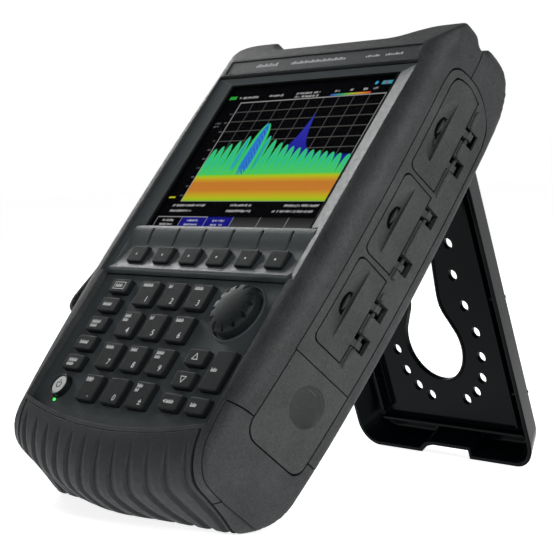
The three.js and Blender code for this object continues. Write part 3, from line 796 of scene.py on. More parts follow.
def housing_blank():
    """The case less everything that is fitted into it."""
    return cut(
        copy(CASE),
        recess(3.5, guard_region(1, SEAM)),
        recess(3.5, guard_region(-1, SEAM)),
        recess(4.4, bumper_region(2.0, 0.35)),
        recess(3.3, battery_region(SEAM, (78, 100))),
        battery_region(-4, (70, 100)),
        panel_region(SEAM, (PANEL_X - SEAM, 100)),
        panel_region(SEAM, (-100, -PANEL_X + SEAM)),
        block((-81.5, 81.5), (9, 50), (33, 264)),
        block((-45, 45), (14, 49), (270, 300)),
        block((-38, 38), (18, 45), (260, 271)),
    )


def facade_region():
    """The opening in the front that the keypad and the bezel fill."""
    xs = [-76 + i * 4.75 for i in range(33)]
    lip = [(x, lip_z(x) + 2.6) for x in xs]
    half = BEZEL_HALF + SEAM
    top = BEZEL_Z[1] + 1.3
    upper = [(77.3, 114.2), (half, 114.2), (half, top), (-half, top), (-half, 114.2), (-77.3, 114.2)]
    return face_prism([(-77.3, 34)] + lip + [(77.3, 34)] + upper, -5, 9.5)


def make_housings(blank):
    """The front and rear housings, split at the seam; the rear one has the stand's bay and lugs."""
    front = crop(copy(blank), block((-120, 120), (-10, SPLIT_Y), (-20, 310)))
    cut(front, facade_region(), block((-77, 77), (-1, 1.5), (252.7, 262.4)))
    finish(front, "front_shell", CASE_SKIN, "case", ["front_housing"])

    rear = crop(blank, block((-120, 120), (SPLIT_Y + SEAM, 100), (-20, 310)))
    cut(rear, block((-71, 71), (53.7, 80), (54, 257)))
    lugs = []
    for x in (43, -48):
        cheek = arc(PIVOT, (4.6, 4.6), -90, 90, 16)
        lugs.append(side_prism([(52, PIVOT[1] - 4.6)] + cheek + [(52, PIVOT[1] + 4.6)], x, x + 5))
    ribs = [block((x - 0.9, x + 0.9), (51.5, 55.4), (67, 240)) for x in (-60, -30, 30, 60)]
    rear = cut(join(rear, *lugs, *ribs), bar_x(*PIVOT, 2.65, (-60, 60)))
    finish(rear, "rear_shell", CASE_SKIN, "case", ["rear_housing"])


def rib_depth(x, z, lip):
    """How deep the bumper is grooved: steep on each groove's left, gentle on its right."""
    place = (x + 68.75 + RIB_PITCH * 0.35) % RIB_PITCH - RIB_PITCH * 0.35
    fade = min(max((lip - 4.5 - z) / 16, 0), 1)
    wide = 6.2 * fade ** 0.6
    if place < -1 or wide < 0.3 or place > wide:
        return 0
    wall = (place + 1) if place < 0 else 1 - place / wide
    return 1.7 * fade ** 0.5 * max(wall, 0)


def make_bumper():
    """The ribbed rubber bumper under the keypad, wrapped round the heel."""
    body = crop(copy(CASE), bumper_region(0, 0))
    dense = body.modifiers.new("dense", "SUBSURF")
    dense.subdivision_type = "SIMPLE"
    dense.levels = 1
    dense.render_levels = 1
    bake(body)
    mesh = body.data
    normals = np.empty(len(mesh.vertices) * 3)
    mesh.vertex_normals.foreach_get("vector", normals)
    normals = normals.reshape(-1, 3)
    for vertex, normal in zip(mesh.vertices, normals):
        x, y, z = vertex.co
        outwards = Vector((0, y - HEEL[0], z - HEEL[1])).normalized()
        if outwards.dot(normal) > 0.45:
            vertex.co -= Vector(normal) * rib_depth(x, z, lip_z(x))
    cut(body, shrunk(CASE, 3.5))
    finish(body, "ribbed_bumper", RUBBER, "case", ["bottom_bumper"], 38)


def shade_strip(outer, inner, depth=0.9, floor=3.4):
    """A black strip at the bottom of the seam between two regions; it paints the shade deep in that
    seam.
    """
    return cut(crop(cut(outer, inner), shrunk(CASE, depth)), shrunk(CASE, floor))


def make_guards():
    """The two lower corner guards, with black strips at the bottom of their seams that paint the seams'
    shade.
    """
    for side, word in ((1, "right"), (-1, "left")):
        guard = shell(3.2, guard_region(side, 0))
        if side > 0:
            cut(guard, battery_region(SEAM, (70, 100)))
        # A black strip at the bottom of the guard's seam paints the shade there
        seam_shade = shade_strip(guard_region(side, SEAM - 0.1), guard_region(side, 0.1))
        dress(guard, CASE_SKIN, [(seam_shade, GASKET_AND_SHADE)])
        finish(guard, f"corner_boot_{word}", CASE_SKIN, "case", [f"corner_guard_{word}"])


def ridge(z0, z1):
    """A raised rounded bar beside the doors' hinges, following the flank."""
    zs = [z0 + (z1 - z0) * i / 8 for i in range(9)]
    swell = [0.35] + [1] * 7 + [0.35]
    return loft([
        [(a, b, z) for a, b in arc((flank_x(z) + 0.1, 41.8), (1.7 * s, 1.45 * s), 0, 342, 19)]
        for z, s in zip(zs, swell)
    ])


def window_shade_liner(z):
    """A thin black liner that paints the shade inside a hinge window."""
    thin = 0.15
    ys = (DOOR_Y[1] + 1, HINGE_Y + 4.4)
    outer = block((PANEL_X - 0.9, 91), ys, (z - WINDOW_HALF, z + WINDOW_HALF))
    inner_zs = (z - WINDOW_HALF + thin, z + WINDOW_HALF - thin)
    return cut(outer, block((PANEL_X - 0.6, 100), (ys[0] - 5, ys[1] - thin), inner_zs))


def make_panels():
    """The side panels; the right one has the doors' bays, hinge windows, pins and ridges."""
    right = crop(copy(CASE), panel_region(0, (PANEL_X, 100)))
    bays = [recess(3, door_region(door, SEAM, (PANEL_X - 0.3, 100), 0.9)) for door in DOORS]
    windows = [window_region(z) for door in DOORS for z in door["windows"]]
    cut(right, *bays)
    bars = []
    for door in DOORS:
        low, high = door["windows"]
        edges = [door["z"][0] - 1.5, low - WINDOW_HALF, low + WINDOW_HALF, high - WINDOW_HALF,
                 high + WINDOW_HALF, door["z"][1] - 6]
        bars += [ridge(a, b) for a, b in zip(edges[::2], edges[1::2])]
    join(right, *bars)
    cut(right, *windows)
    pins = [
        bar_z(door["hinge"], HINGE_Y, 1.1, (z - WINDOW_HALF - 1, z + WINDOW_HALF + 1))
        for door in DOORS for z in door["windows"]
    ]
    join(right, *pins)
    xs = (PANEL_X - 0.2, 100)
    # Black strips at the bottom of the seams and black liners in the hinge windows paint the shade there
    shade_parts = [shade_strip(door_region(door, SEAM, xs), door_region(door, 0.12, xs)) for door in DOORS]
    rim = panel_region(SEAM - 0.1, (PANEL_X - 0.4, 100))
    shade_parts.append(shade_strip(rim, panel_region(0, (PANEL_X - 2, 101))))
    shade_parts += [window_shade_liner(z) for door in DOORS for z in door["windows"]]
    dress(right, PANEL, [(part, GASKET_AND_SHADE) for part in shade_parts])
    finish(right, "port_side_panel", PANEL, "case", ["side_panel_right"])

    left = crop(copy(CASE), panel_region(0, (-100, -PANEL_X)))
    slots = [side_prism(rounded_rect(45.5, 215 + 5.2 * i, 11, 2.4, 1.1), -100, -80) for i in range(7)]
    finish(cut(left, *slots), "vent_side_panel", PANEL, "case", ["side_panel_left"])


def hinge_arm(door, z):
    """An arm that reaches back from a door and ends in a barrel round its pin."""
    half = 1.9
    xs = (door["hinge"] - 1, door["hinge"] + 1)
    zs = (z - half, z + half)
    arm = join(block(xs, (DOOR_Y[1] - 1, HINGE_Y), zs), bar_z(door["hinge"], HINGE_Y, 2.4, zs))
    return cut(arm, bar_z(door["hinge"], HINGE_Y, 1.25, (z - 9, z + 9)))


def make_doors():
    """The three port doors: a raised plate, a scoop, a latch slot with its tab, and two hinge arms."""
    for door in DOORS:
        leaf = join(
            shell(1, door_region(door, 0, (80, 100))),
            shell(2.5, door_region(door, 0, (80, 100), -0.6)),
        )
        middle = door["scoop"]
        face = flank_x(middle)
        bowl = crop(
            ellipsoid((face + 0.45, 27.9, middle), (2.85, 9.5, 20.3)),
            block((70, 110), (0, 27.9), (middle - 40, middle + 40)),
        )
        slot = side_prism(slot_outline(middle), face - 3.4, 100)
        cut(leaf, bowl, slot)
        # A black sheet at the bottom of the latch slot paints the shade inside it
        floor = side_prism(slot_outline(middle), face - 2.85, face - 2.6)
        tab = ellipsoid((face - 1.4, 24.9, middle), (1.2, 0.85, 4.4))
        arms = [hinge_arm(door, z) for z in (door["windows"][0] - 1.3, door["windows"][1] + 0.9)]
        join(leaf, *arms)
        dress(leaf, PANEL, [(floor, GASKET_AND_SHADE), (tab, RUBBER)])
        name = door["name"]
        finish(leaf, f"{name}_port_door", PANEL, f"{name}_door", [f"door_{name}"])


def slot_outline(middle):
    """The latch slot: straight towards the hinge, bowed towards the front."""
    upper = [(27.2, 6.6), (24.4, 5.9), (22.9, 2.8)]
    bow = upper + [(22.5, 0)] + [(y, -rise) for y, rise in reversed(upper)]
    return smooth_curve([(y, middle + rise) for y, rise in bow], 20)


def make_battery_door():
    """The battery door, with its round dimple coloured darker than the door, and a tongue inside."""
    y, z = DIMPLE_AT
    leaf = shell(3, battery_region(0, (78, 100)))
    cut(leaf, ellipsoid((flank_x(z) + 0.7, y, z), (3.1, 10.9, 10.9), 64))
    dimple = crop(copy(leaf), bar_x(y, z, 10.2, (80, 100), 64))
    cut(leaf, bar_x(y, z, 10.2, (80, 100), 64))
    join(leaf, block((83, 90.4), (19, 48.5), (74, 78.5)))
    dress(leaf, PANEL, [(dimple, DIMPLE)])
    finish(leaf, "battery_hatch", PANEL, "battery_cover", ["battery_door"])


# ---------- front face ----------

SOFTKEYS = [
    {"name": f"softkey_{i + 1}", "x": -57.3 + 23.2 * i, "z": 126.4, "w": 13.4, "h": 10}
    for i in range(6)
]
COLUMN = [
    {"name": f"key_{use}", "x": -55.2, "z": 105.2 - 12.25 * i, "w": 16, "h": 8.4}
    for i, use in enumerate(("mode", "frequency", "scale", "marker", "tools"))
]
DIGITS = [
    {
        "name": f"key_{use}",
        "x": -28.3 + 22.1 * (i % 3),
        "z": 101.6 - 19.65 * (i // 3),
        "w": 15.2,
        "h": 14.8,
    }
    for i, use in enumerate(("1", "2", "3", "4", "5", "6", "7", "8", "9", "point", "0", "sign"))
]
ENTRY = [
    {"name": "key_up", "x": 41.8, "z": 67.3, "w": 14.8, "h": 8.8},
    {"name": "key_down", "x": 41.6, "z": 54.3, "w": 14.8, "h": 8.8},
    {"name": "key_back", "x": 41.6, "z": 41.4, "w": 14.4, "h": 8.8},
    {"name": "key_enter", "x": 62.6, "z": 61.3, "w": 14, "h": 22},
    {"name": "key_escape", "x": 62.4, "z": 41.4, "w": 14.2, "h": 8.8},
]
PAD = COLUMN + DIGITS + ENTRY

# How long each digit key's caption is, and which keys have two rows of caption
CAPTION_LENGTHS = {
    "1": 8.4, "2": 3.4, "3": 7.2, "4": 5.6, "5": 3.4, "6": 6,
    "7": 7.2, "8": 5.2, "9": 6.2, "point": 6, "sign": 4.6,
}
TWO_ROWS = ("4", "9", "sign", "scale", "tools")


def key_outline(key, grow, count=4):
    """A key's round-cornered outline, let out on all sides."""
    return rounded_rect(key["x"], key["z"], key["w"] + 2 * grow, key["h"] + 2 * grow, 0.9 + grow, count)


def bezel_shelf():
    """The rolled shelf that holds the soft keys, from the screen's lower edge to its own lip."""
    rise = smooth_curve(
        [(4.1, 146.6), (2.6, 146.3), (1.9, 145.2), (1.7, 142.5), (2.2, 138.5), (3.1, 134.5),
         (3.3, 130.5), (2.6, 122.3), (1.6, 118.6), (0.8, 117.6), (0.6, 116.6), (1.1, 115.5),
         (4.1, 114.6)], 60)
    return side_prism(rise, -74.6, 74.6, 2)


def make_bezel():
    """The frame whose shallow sides slope down to the screen, with the soft-key shelf under it."""
    low, high = BEZEL_Z
    rim = rounded_rect(0, (low + high) / 2, 2 * BEZEL_HALF, high - low, 1.2)
    body = face_prism(rim, BEZEL_Y, 4.1, 0.5, 0, 4)
    rings = []
    for y, half, z0, z1 in (
        (BEZEL_Y - 1, BEZEL_HALF + 5.8, 110, high + 1.4),
        (LEDGE["y"], LEDGE["half"], 110, LEDGE["top"]),
    ):
        opening = rounded_rect(0, (z0 + z1) / 2, 2 * half, z1 - z0, 0.3, 3)
        rings.append([(x, y, z) for x, z in opening])
    cut(body, loft(rings), block((-SCREEN_HALF, SCREEN_HALF), (2, 8), SCREEN_Z))
    cut(body, block((-75, 75), (-1, 8), (114.3, 146.6)))
    webs = [block(xs, (2.9, 4.1), (114.6, 146.6)) for xs in ((-76, -74), (74, 76))]
    join(body, bezel_shelf(), *webs)
    grooves = [
        face_prism(rounded_rect(key["x"] + 0.3, 138.6, 2.6, 11, 1.25), -1, 3.85)
        for key in SOFTKEYS
    ]
    cut(body, *grooves, *[face_prism(key_outline(key, 0.35), -2, 8) for key in SOFTKEYS])
    half = LEDGE["half"] + 0.1
    zs = (SCREEN_Z[0] - 0.1, LEDGE["top"] + 0.2)
    gasket = block((-half, half), (LEDGE["y"] - 0.04, 4.25), zs)
    inner_xs = (0.1 - SCREEN_HALF, SCREEN_HALF - 0.1)
    cut(gasket, block(inner_xs, (2, 8), (SCREEN_Z[0] - 9, SCREEN_Z[1] - 0.5)))
    dress(body, BEZEL, [(gasket, GASKET_AND_SHADE)])
    finish(body, "screen_bezel", BEZEL, "case", ["display_bezel"], 30)


def make_keypad_plate():
    """The plate under the keys, with the knob's rim and well and a hole for each key."""
    xs = [-75.6 + i * 4.725 for i in range(33)]
    lip = [(x, lip_z(x) + 2.9) for x in xs]
    outline = [(-77, 34.3)] + lip + [(77, 34.3), (77, 113.9), (-77, 113.9)]
    plate = face_prism(outline, KEY_FLOOR, 5.7)
    rim = turned([(16.8, 4.6), (16.8, 3.6), (16.4, 3.25), (15.8, 3.25), (15.4, 3.6), (15.4, 4.6)], *KNOB)
    well = turned([(15.2, 3), (15.2, 4.4), (3.6, 4.9), (3.6, 9)], *KNOB)
    holes = [face_prism(key_outline(key, 0.35), 0, 9) for key in PAD]
    cut(join(plate, rim), well, bar_y(*POWER, 6.7, (0, 9)), bar_y(*LAMP_AT, 1.05, (0, 9)), *holes)
    finish(plate, "keypad_face", KEYPAD, "case", ["keypad_panel"], 30)


def cap_solid(key):
    """A key cap with upright sides, a rolled edge and a barely dished top."""
    levels = ((0.0, 6.2), (0.0, 1.5), (0.07, 1.24), (0.22, 1.08), (0.45, 1.01), (0.8, KEY_TOP))
    outline = key_outline(key, 0)
    return loft([[(x, y, z) for x, z in offset(outline, -pull)] for pull, y in levels])


def mark(points):
    """A thin printed shape on a key top."""
    return face_prism(points, KEY_TOP - 0.04, KEY_TOP + 0.05)


def stroke(x0, z0, x1, z1, width=0.42):
    """A straight printed line."""
    along = Vector((x1 - x0, z1 - z0)).normalized() * (width / 2)
    side = Vector((-along.y, along.x))
    ends = [(x0, z0, -1, -1), (x1, z1, 1, -1), (x1, z1, 1, 1), (x0, z0, -1, 1)]
    return mark([(x + a * along.x + b * side.x, z + a * along.y + b * side.y) for x, z, a, b in ends])


def legend(x0, z, length, rows=1):
    """A small printed caption, as upright ticks of uneven height in place of letters."""
    ticks = []
    for row in range(rows):
        reach = length * (1 - 0.2 * row)
        for i in range(int(reach / 0.74)):
            x = x0 + 0.74 * i
            base = z - 2.5 * row
            bar = base - 0.65 + 0.6 * (i % 2)
            ticks.append(stroke(x, base - 0.8, x, base + (1.0, 0.35, 0.5)[i % 3], 0.4))
            ticks.append(stroke(x, bar, x + 0.45, bar, 0.34))
    return ticks


def digit(text, x, z, size):
    """A printed digit or sign, centred on (x, z)."""
    curve = bpy.data.curves.new("digit", "FONT")
    curve.body = text
    curve.size = size
    curve.align_x = "CENTER"
    curve.align_y = "CENTER"
    curve.extrude = 0.04
    curve.offset = 0.02
    source = bpy.data.objects.new("digit", curve)
    bpy.context.scene.collection.objects.link(source)
    seen = source.evaluated_get(bpy.context.evaluated_depsgraph_get())
    shape = bpy.data.objects.new("work", bpy.data.meshes.new_from_object(seen))
    bpy.context.scene.collection.objects.link(shape)
    shape.data.transform(Matrix.Translation((x, 0.99, z)) @ Matrix.Rotation(math.radians(90), 4, "X"))
    bpy.data.objects.remove(source)
    bpy.data.curves.remove(curve)
    return shape


def triangle(x, z, rise):
    """An outlined triangle that points up or down."""
    tips = [(x - 2.1, z - 1.5 * rise), (x + 2.1, z - 1.5 * rise), (x, z + 1.9 * rise)]
    return [stroke(*tips[i], *tips[(i + 1) % 3], 0.4) for i in range(3)]


def key_marks(key):
    """What is printed on a key."""
    use = key["name"].split("_")[1]
    x, z = key["x"], key["z"]
    if key["name"].startswith("softkey"):
        return [mark(arc((x - 0.4, z - 0.3), (0.62, 0.62), 0, 345, 23))]
    if key in DIGITS:
        symbol = {"point": ".", "sign": "±"}.get(use, use)
        marks = [digit(symbol, x + 3.1, z - 4.0, 4.9)]
        if use in CAPTION_LENGTHS:
            marks += legend(x - 5.6, z + 4.9, CAPTION_LENGTHS[use], 2 if use in TWO_ROWS else 1)
        if use == "point":
            marks.append(stroke(x - 5.6, z + 3.5, x - 0.6, z + 3.5, 0.3))
        return marks
    if use in ("up", "down"):
        return triangle(x - 0.5, z, 1 if use == "up" else -1)
    if use == "back":
        arrow = [(x - 5.6, z), (x - 4, z + 1.1), (x - 4, z - 1.1)]
        return [mark(arrow[::-1])] + legend(x - 3, z, 6)
    if use == "mode":
        box = [(x - 5, z - 2.1), (x + 4.4, z - 2.1), (x + 4.4, z + 2.1), (x - 5, z + 2.1)]
        return [stroke(*box[i], *box[(i + 1) % 4], 0.35) for i in range(4)] + legend(x - 3.4, z, 6.4)
    rows = 2 if use in TWO_ROWS else 1
    return legend(x - 4.4, z + (1 if rows == 2 else 0), 5 if use in ("enter", "escape") else 7.4, rows)


def make_keys():
    """Every rubber key with its printed marks."""
    for key in SOFTKEYS + PAD:
        cap = dress(cap_solid(key), KEY, [(part, WHITE_INK) for part in key_marks(key)])
        finish(cap, f"{key['name']}_top", KEY, f"{key['name']}_cap", [key["name"]], 30)


def make_power_button():
    """A pale disc with the power symbol, in a black ring."""
    x, z = POWER
    collar = [(5.4, 6.6), (6.3, 6.6), (6.3, 1.5), (6.15, 1.05),
              (5.8, 0.8), (5.45, 0.9), (5.35, 1.5), (5.3, 3)]
    ring = turned(collar, x, z)
    disc = turned([(5.2, 5), (5.25, 1.5), (5.1, 1.25), (4.4, 1.12), (2, 1.02), (0.2, 1.0)], x, z)
    bow = arc((x, z), (2.05, 2.05), 125, 415, 22)
    inner = arc((x, z), (1.5, 1.5), 415, 125, 22)
    symbol = face_prism(bow + inner, 0.9, 1.1)
    stem = face_prism(rounded_rect(x, z + 1.7, 0.55, 2.3, 0.1, 2), 0.9, 1.1)
    button = dress(ring, BUTTON_RING, [(disc, BUTTON_DISC), (symbol, DARK_INK), (stem, DARK_INK)])
    finish(button, "power_key", BUTTON_RING, "power", ["power_button"], 30)


def make_knob():
    """A low dome with twelve finger notches round its rim."""
    x, z = KNOB
    dome = [(14.4, 3.4), (14.4, 0.6), (14.2, -0.6), (13.5, -1.75),
            (12.2, -2.6), (9.5, -3.25), (5, -3.7), (0.3, -3.85)]
    body = turned([(11, 3.4)] + smooth_curve(dome, 40), x, z, 96)
    notches = []
    for i in range(12):
        turn = i * math.pi / 6 + 0.2
        notch = ellipsoid((0, 0, 0), (3.1, 2.1, 1.35), 28)
        place = Matrix.Translation((x + 12.9 * math.cos(turn), -2.9, z + 12.9 * math.sin(turn)))
        notch.data.transform(place @ Matrix.Rotation(-turn, 4, "Y"))
        notches.append(notch)
    cut(body, *notches)
    finish(body, "knob_dome", KNOB_SKIN, "knob", ["tuning_knob"], 40)


def make_nameplate():
    """A plain inset plate above the screen, with short dashes where such plates are printed."""
    plate = face_prism(rounded_rect(0, 257.55, 153.4, 9.1, 1.6, 6), 0.45, 1.3, 0.35, 0, 3)
    dashes = []
    for x0, length, height in ((-52, 17, 2.4), (-22, 44, 2.1), (38, 10, 1.5), (53, 12, 1.5)):
        at = x0
        part = 0
        while at < x0 + length:
            wide = (1.1, 1.5, 0.8, 1.3, 1.7)[part % 5]
            tall = height * (0.7, 1, 0.8, 0.65, 1)[part % 5]
            dash = rounded_rect(at + wide / 2, 256.5 + tall / 2, wide, tall, 0.3, 2)
            dashes.append(face_prism(dash, 0.42, 0.6))
            at += wide + 0.6
            part += 1
    dress(plate, PLATE, [(dash, PLATE_INK) for dash in dashes])
    finish(plate, "plain_nameplate", PLATE, "case", ["nameplate"], 30)


# ---------- the lit screen ----------

# The lobes' middles and tops; the main lobe stands among them
LOBES = (
    (-51, 201.8), (-45.5, 203.5), (-39.6, 205), (-33.1, 206.9), (-27.1, 209.9), (-9.7, 209.7),
    (-3.4, 206.8), (3.1, 204.6), (8.8, 203.1), (14.5, 201.8), (20.4, 200.7), (26.3, 199.8),
    (32.1, 199), (37.8, 198.3), (43.4, 197.6), (48.9, 197), (54.8, 196.1), (61.9, 195.4),
)
MAIN_LOBE = (-17.5, 218.8)
GRAPH_X = (-54.3, 63.5)
GRAPH_Z = (165.5, 235)
BAND_TOP = 182.5
BOX_Z = (146.9, 154.7)
SHEET_Y = 5.45


class Painter:
    """Paints flat colours and washes onto a grid of points."""

    def __init__(self, xs, zs):
        """Starts with a black grid."""
        self.x, self.z = np.meshgrid(xs, zs)
        self.cell = xs[1] - xs[0]
        self.colour = np.zeros(self.x.shape + (3,))
        self.random = np.random.RandomState(7)

    def wash(self, cover, colour):
        """Lays a colour over the grid, where cover is above 0."""
        cover = np.clip(cover, 0, 1)[..., None]
        self.colour = self.colour * (1 - cover) + np.asarray(colour) * cover

    def cover(self, distance):
        """1 inside, 0 outside, from a distance that is negative inside."""
        return 0.5 - distance / self.cell

    def box(self, x0, x1, z0, z1, code):
        """A filled box."""
        across = np.maximum(x0 - self.x, self.x - x1)
        upwards = np.maximum(z0 - self.z, self.z - z1)
        self.wash(self.cover(np.maximum(across, upwards)), srgb(code)[:3])

    def outline(self, x0, x1, z0, z1, code, width=0.3):
        """A box drawn as four lines."""
        for a, b, c, d in ((x0, x1, z0, z0), (x0, x1, z1, z1), (x0, x0, z0, z1), (x1, x1, z0, z1)):
            self.box(a - width / 2, b + width / 2, c - width / 2, d + width / 2, code)

    def lettering(self, x0, x1, z, code="c8c8c8", height=1.7):
        """Small illegible print: a row of uneven specks with word gaps."""
        cells = int((x1 - x0) / 0.55)
        for i in range(cells):
            if self.random.rand() < 0.2:
                continue
            at = x0 + 0.55 * i
            low = z - height / 2 * self.random.uniform(0.3, 1)
            self.box(at, at + 0.3, low, z + height / 2 * self.random.uniform(0.3, 1), code)


def ramp(value, stops):
    """A colour for each value, from (place, code) stops."""
    places = [place for place, _ in stops]
    colours = np.array([srgb(code)[:3] for _, code in stops])
    return np.stack([np.interp(value, places, colours[:, i]) for i in range(3)], -1)


def paint_graph(art):
    """The graticule, the far peak, the row of lobes and the bright noise band."""
    (x0, x1), (z0, z1) = GRAPH_X, GRAPH_Z
    for i in range(1, 10):
        across = x0 + (x1 - x0) * i / 10
        upwards = z0 + (z1 - z0) * i / 10
        art.box(across - 0.22, across + 0.22, z0, z1, "585854")
        art.box(x0, x1, upwards - 0.22, upwards + 0.22, "585854")
    art.outline(x0, x1, z0, z1, "b4b4b0", 0.45)
    inside = (art.x > x0) & (art.x < x1) & (art.z > z0)
    far = np.abs(art.x - 16.6)
    peak = 195.2 + 27.3 * np.exp(-far / 4.6) + 2.6 * np.exp(-far / 26)
    speck = 0.72 + 0.28 * art.random.rand(*art.x.shape)
    fade = np.clip((peak - art.z) / 3, 0.35, 1) * speck
    blue = ramp(np.clip((art.z - 195) / 26, 0, 1), ((0, "1c1c8e"), (0.5, "2a2aa4"), (1, "2c35a8")))
    art.wash(art.cover(art.z - peak) * inside * fade, blue)
    for x, top in sorted(LOBES, key=lambda lobe: lobe[1]) + [MAIN_LOBE]:
        paint_lobe(art, x, top, inside)
    place = (art.z - z0) / (BAND_TOP - z0)
    band = ramp(place, (
        (0, "8fc31d"), (0.14, "b9b81f"), (0.3, "c89a26"), (0.42, "c77d2c"),
        (0.72, "c67b2d"), (0.86, "c9a024"), (0.96, "b3c21f"), (1.06, "6cc93c"),
    ))
    art.wash(art.cover(art.z - BAND_TOP - 0.8) * inside, band)


def paint_lobe(art, x, top, inside):
    """One lobe, with a chevron pattern down the middle of the main one and its neighbours."""
    main = (x, top) == MAIN_LOBE
    half = 7.6 if main else 3.5
    height = np.clip((top - art.z) / (top - BAND_TOP), 0, 1)
    reach = half * np.sqrt(1 - (1 - height) ** 2.2)
    share = np.abs(art.x - x) / np.maximum(reach, 0.05)
    shape = art.cover(np.abs(art.x - x) - reach) * (art.z < top) * inside
    colour = ramp(share, ((0, "33bd92"), (0.55, "36c684"), (0.8, "3ad262"), (1, "2fa44e")))
    low = np.clip(1 - (art.z - BAND_TOP) / 9, 0, 1)[..., None]
    colour = colour * (1 - 0.75 * low) + np.array(srgb("55cf48")[:3]) * 0.75 * low
    art.wash(shape, colour)
    centre = np.clip(1 - share / 0.62, 0, 1)
    if main or abs(x - MAIN_LOBE[0]) < 14:
        chevron = 0.5 + 0.5 * np.sin((art.z + 1.3 * np.abs(art.x - x)) * (2.1 if main else 3.2))
        strength = (1.0 if main else 0.55) * np.clip(centre * 2.2, 0, 1)
        strength = strength * np.clip((art.z - 186) / 10, 0, 1)
        art.wash(shape * strength * (0.45 + 0.55 * chevron), srgb("2f8fd0" if main else "2fa6b8")[:3])
        if main:
            art.wash(shape * (chevron > 0.62) * np.clip(centre * 3 - 0.8, 0, 1), srgb("2b45c4")[:3])


def paint_captions(art):
    """Status marks round the graph."""
    art.box(-67.5, -60.9, 237.9, 240.2, "2c9a3a")
    for x0, x1, z in (
        (-58, -41, 238.7), (-32, -19, 238.7), (-9.6, 11, 239), (-9.6, 11, 236.6), (22, 26, 238.9),
        (34, 37, 238.9), (44, 47.5, 238.9), (51, 55.5, 238.9), (-59, -30, 162.5), (-10, 9, 162.5),
        (35, 61.7, 162.5), (-59, -39.5, 158.8), (-9.6, 10.8, 158.8), (28, 61.7, 158.8),
    ):
        art.lettering(x0, x1, z)
    place = (art.x - 20) / 31
    bar = ((0, "3a4fd0"), (0.3, "30b06a"), (0.55, "a9b92a"), (0.75, "d8962a"), (1, "d2402c"))
    distance = np.maximum(np.abs(art.x - 35.5) - 15.5, np.abs(art.z - 236.2) - 0.6)
    art.wash(art.cover(distance), ramp(place, bar))
    art.box(55.7, 63.1, 241.3, 243.6, "3c98b0")
    art.box(57.6, 60, 241.8, 243.1, "a04a44")
    art.wash(art.cover(np.hypot(art.x - 51.5, art.z - 242.6) - 1.1), srgb("3f9fd0")[:3])
    art.box(-68, -61.5, 167.5, 168.6, "b8b81e")
    for i in range(10):
        art.lettering(-58.4, -55.6, 227 - 6.4 * i, "7d7d7d", 1.1)
    for z in (220.6, 218.2):
        art.lettering(-66, -61.5, z, "8d8d8d", 1.3)
    paint_boxes(art)


def paint_boxes(art):
    """The six boxes over the soft keys: one black, two blue and three plain."""
    z0, z1 = BOX_Z
    width = 22.08
    for i in range(6):
        x0 = -66.24 + width * i
        if i in (1, 2):
            art.box(x0, x0 + width, z0, z1, "15157c")
        elif i > 2:
            shade = ramp((art.z - z0) / 7.8, ((0, "4c4c4c"), (0.5, "363636"), (1, "1c1c1c")))
            across = np.abs(art.x - x0 - width / 2) - width / 2
            art.wash(art.cover(np.maximum(across, np.abs(art.z - 150.8) - 3.9)), shade)
        art.box(x0 - 0.15, x0 + 0.15, z0, z1, "a8a8a8")
        if i < 3:
            art.lettering(x0 + 6, x0 + 16, 152.3, "d0d0d0", 1.5)
            art.lettering(x0 + 5, x0 + 17, 149.6, "d0d0d0", 1.5)
    art.box(-66.3, -22, 154.5, 154.9, "a8a8a8")


def make_screen():
    """The picture as a fine sheet of coloured points just under the window."""
    xs = np.linspace(-SCREEN_HALF, SCREEN_HALF, 385)
    zs = np.linspace(*SCREEN_Z, 286)
    art = Painter(xs, zs)
    paint_graph(art)
    paint_captions(art)
    columns = len(xs)
    verts = np.stack([art.x, np.full(art.x.shape, SHEET_Y), art.z], -1).reshape(-1, 3)
    starts = [r * columns + c for r in range(len(zs) - 1) for c in range(columns - 1)]
    faces = [(s, s + 1, s + columns + 1, s + columns) for s in starts]
    sheet = new_object("work", verts.tolist(), faces)
    tint = sheet.data.color_attributes.new("tint", "FLOAT_COLOR", "POINT")
    rgba = np.concatenate([art.colour.reshape(-1, 3), np.ones((len(verts), 1))], 1)
    tint.data.foreach_set("color", rgba.astype(np.float32).ravel())
    finish(sheet, "screen_picture", screen_light(), "case", ())


# ---------- kickstand, ports and strap ----------

def stand_outline():
    """The leg's outline, across and along, with the notch in its foot."""
    half, foot = STAND_HALF[1], STAND_LENGTH
    right = arc((half - 15, foot - 15), (15, 15), 0, 90, 14)
    notch = [(19.3, foot), (19.3, foot - 5.5), (-9, foot - 5.5), (-14, foot - 4.2), (-19.5, foot)]
    left = arc((-half + 15, foot - 15), (15, 15), 90, 180, 14)
    return [(half, 0)] + right + notch + left + [(-half, 0)]


def leg_level(y, inset):
    """The leg's outline at a distance from the pivot's plane; it narrows outwards."""
    draft = (y - STAND_RIM) / (STAND_OUTER - STAND_RIM)
    pull = 1 - draft * (1 - STAND_HALF[0] / STAND_HALF[1])
    ring = []
    for x, along in offset(stand_outline(), -inset):
        shorten = draft * 6 if along > STAND_LENGTH / 2 else 0
        ring.append((x * pull, y, -(along - shorten)))
    return ring


def leg_blank(levels):
    """A solid through the leg's outline at several (distance, inset) levels."""
    return loft([leg_level(y, inset) for y, inset in levels])


def keyhole_outline():
    """The keyhole: a round lobe, a waisted neck and a rounded crown."""
    x, along, r, neck, top = (KEYHOLE[k] for k in ("x", "along", "r", "neck", "top"))
    lobe = arc((x, -along), (r, r), 147, 393, 40)
    side = [(neck + 4.6, -along + 15.5), (neck + 1.2, -along + 22), (neck, -along + 29),
            (neck + 1.2, -along + 41), (neck + 3.3, -along + 56)]
    right = [(x + a, b) for a, b in smooth_curve(side, 16)]
    crest = arc((x, -top - 16), (neck + 3.4, 16), 0, 180, 18)
    left = [(x - a, b) for a, b in reversed(smooth_curve(side, 16))]
    return lobe + right + crest + left


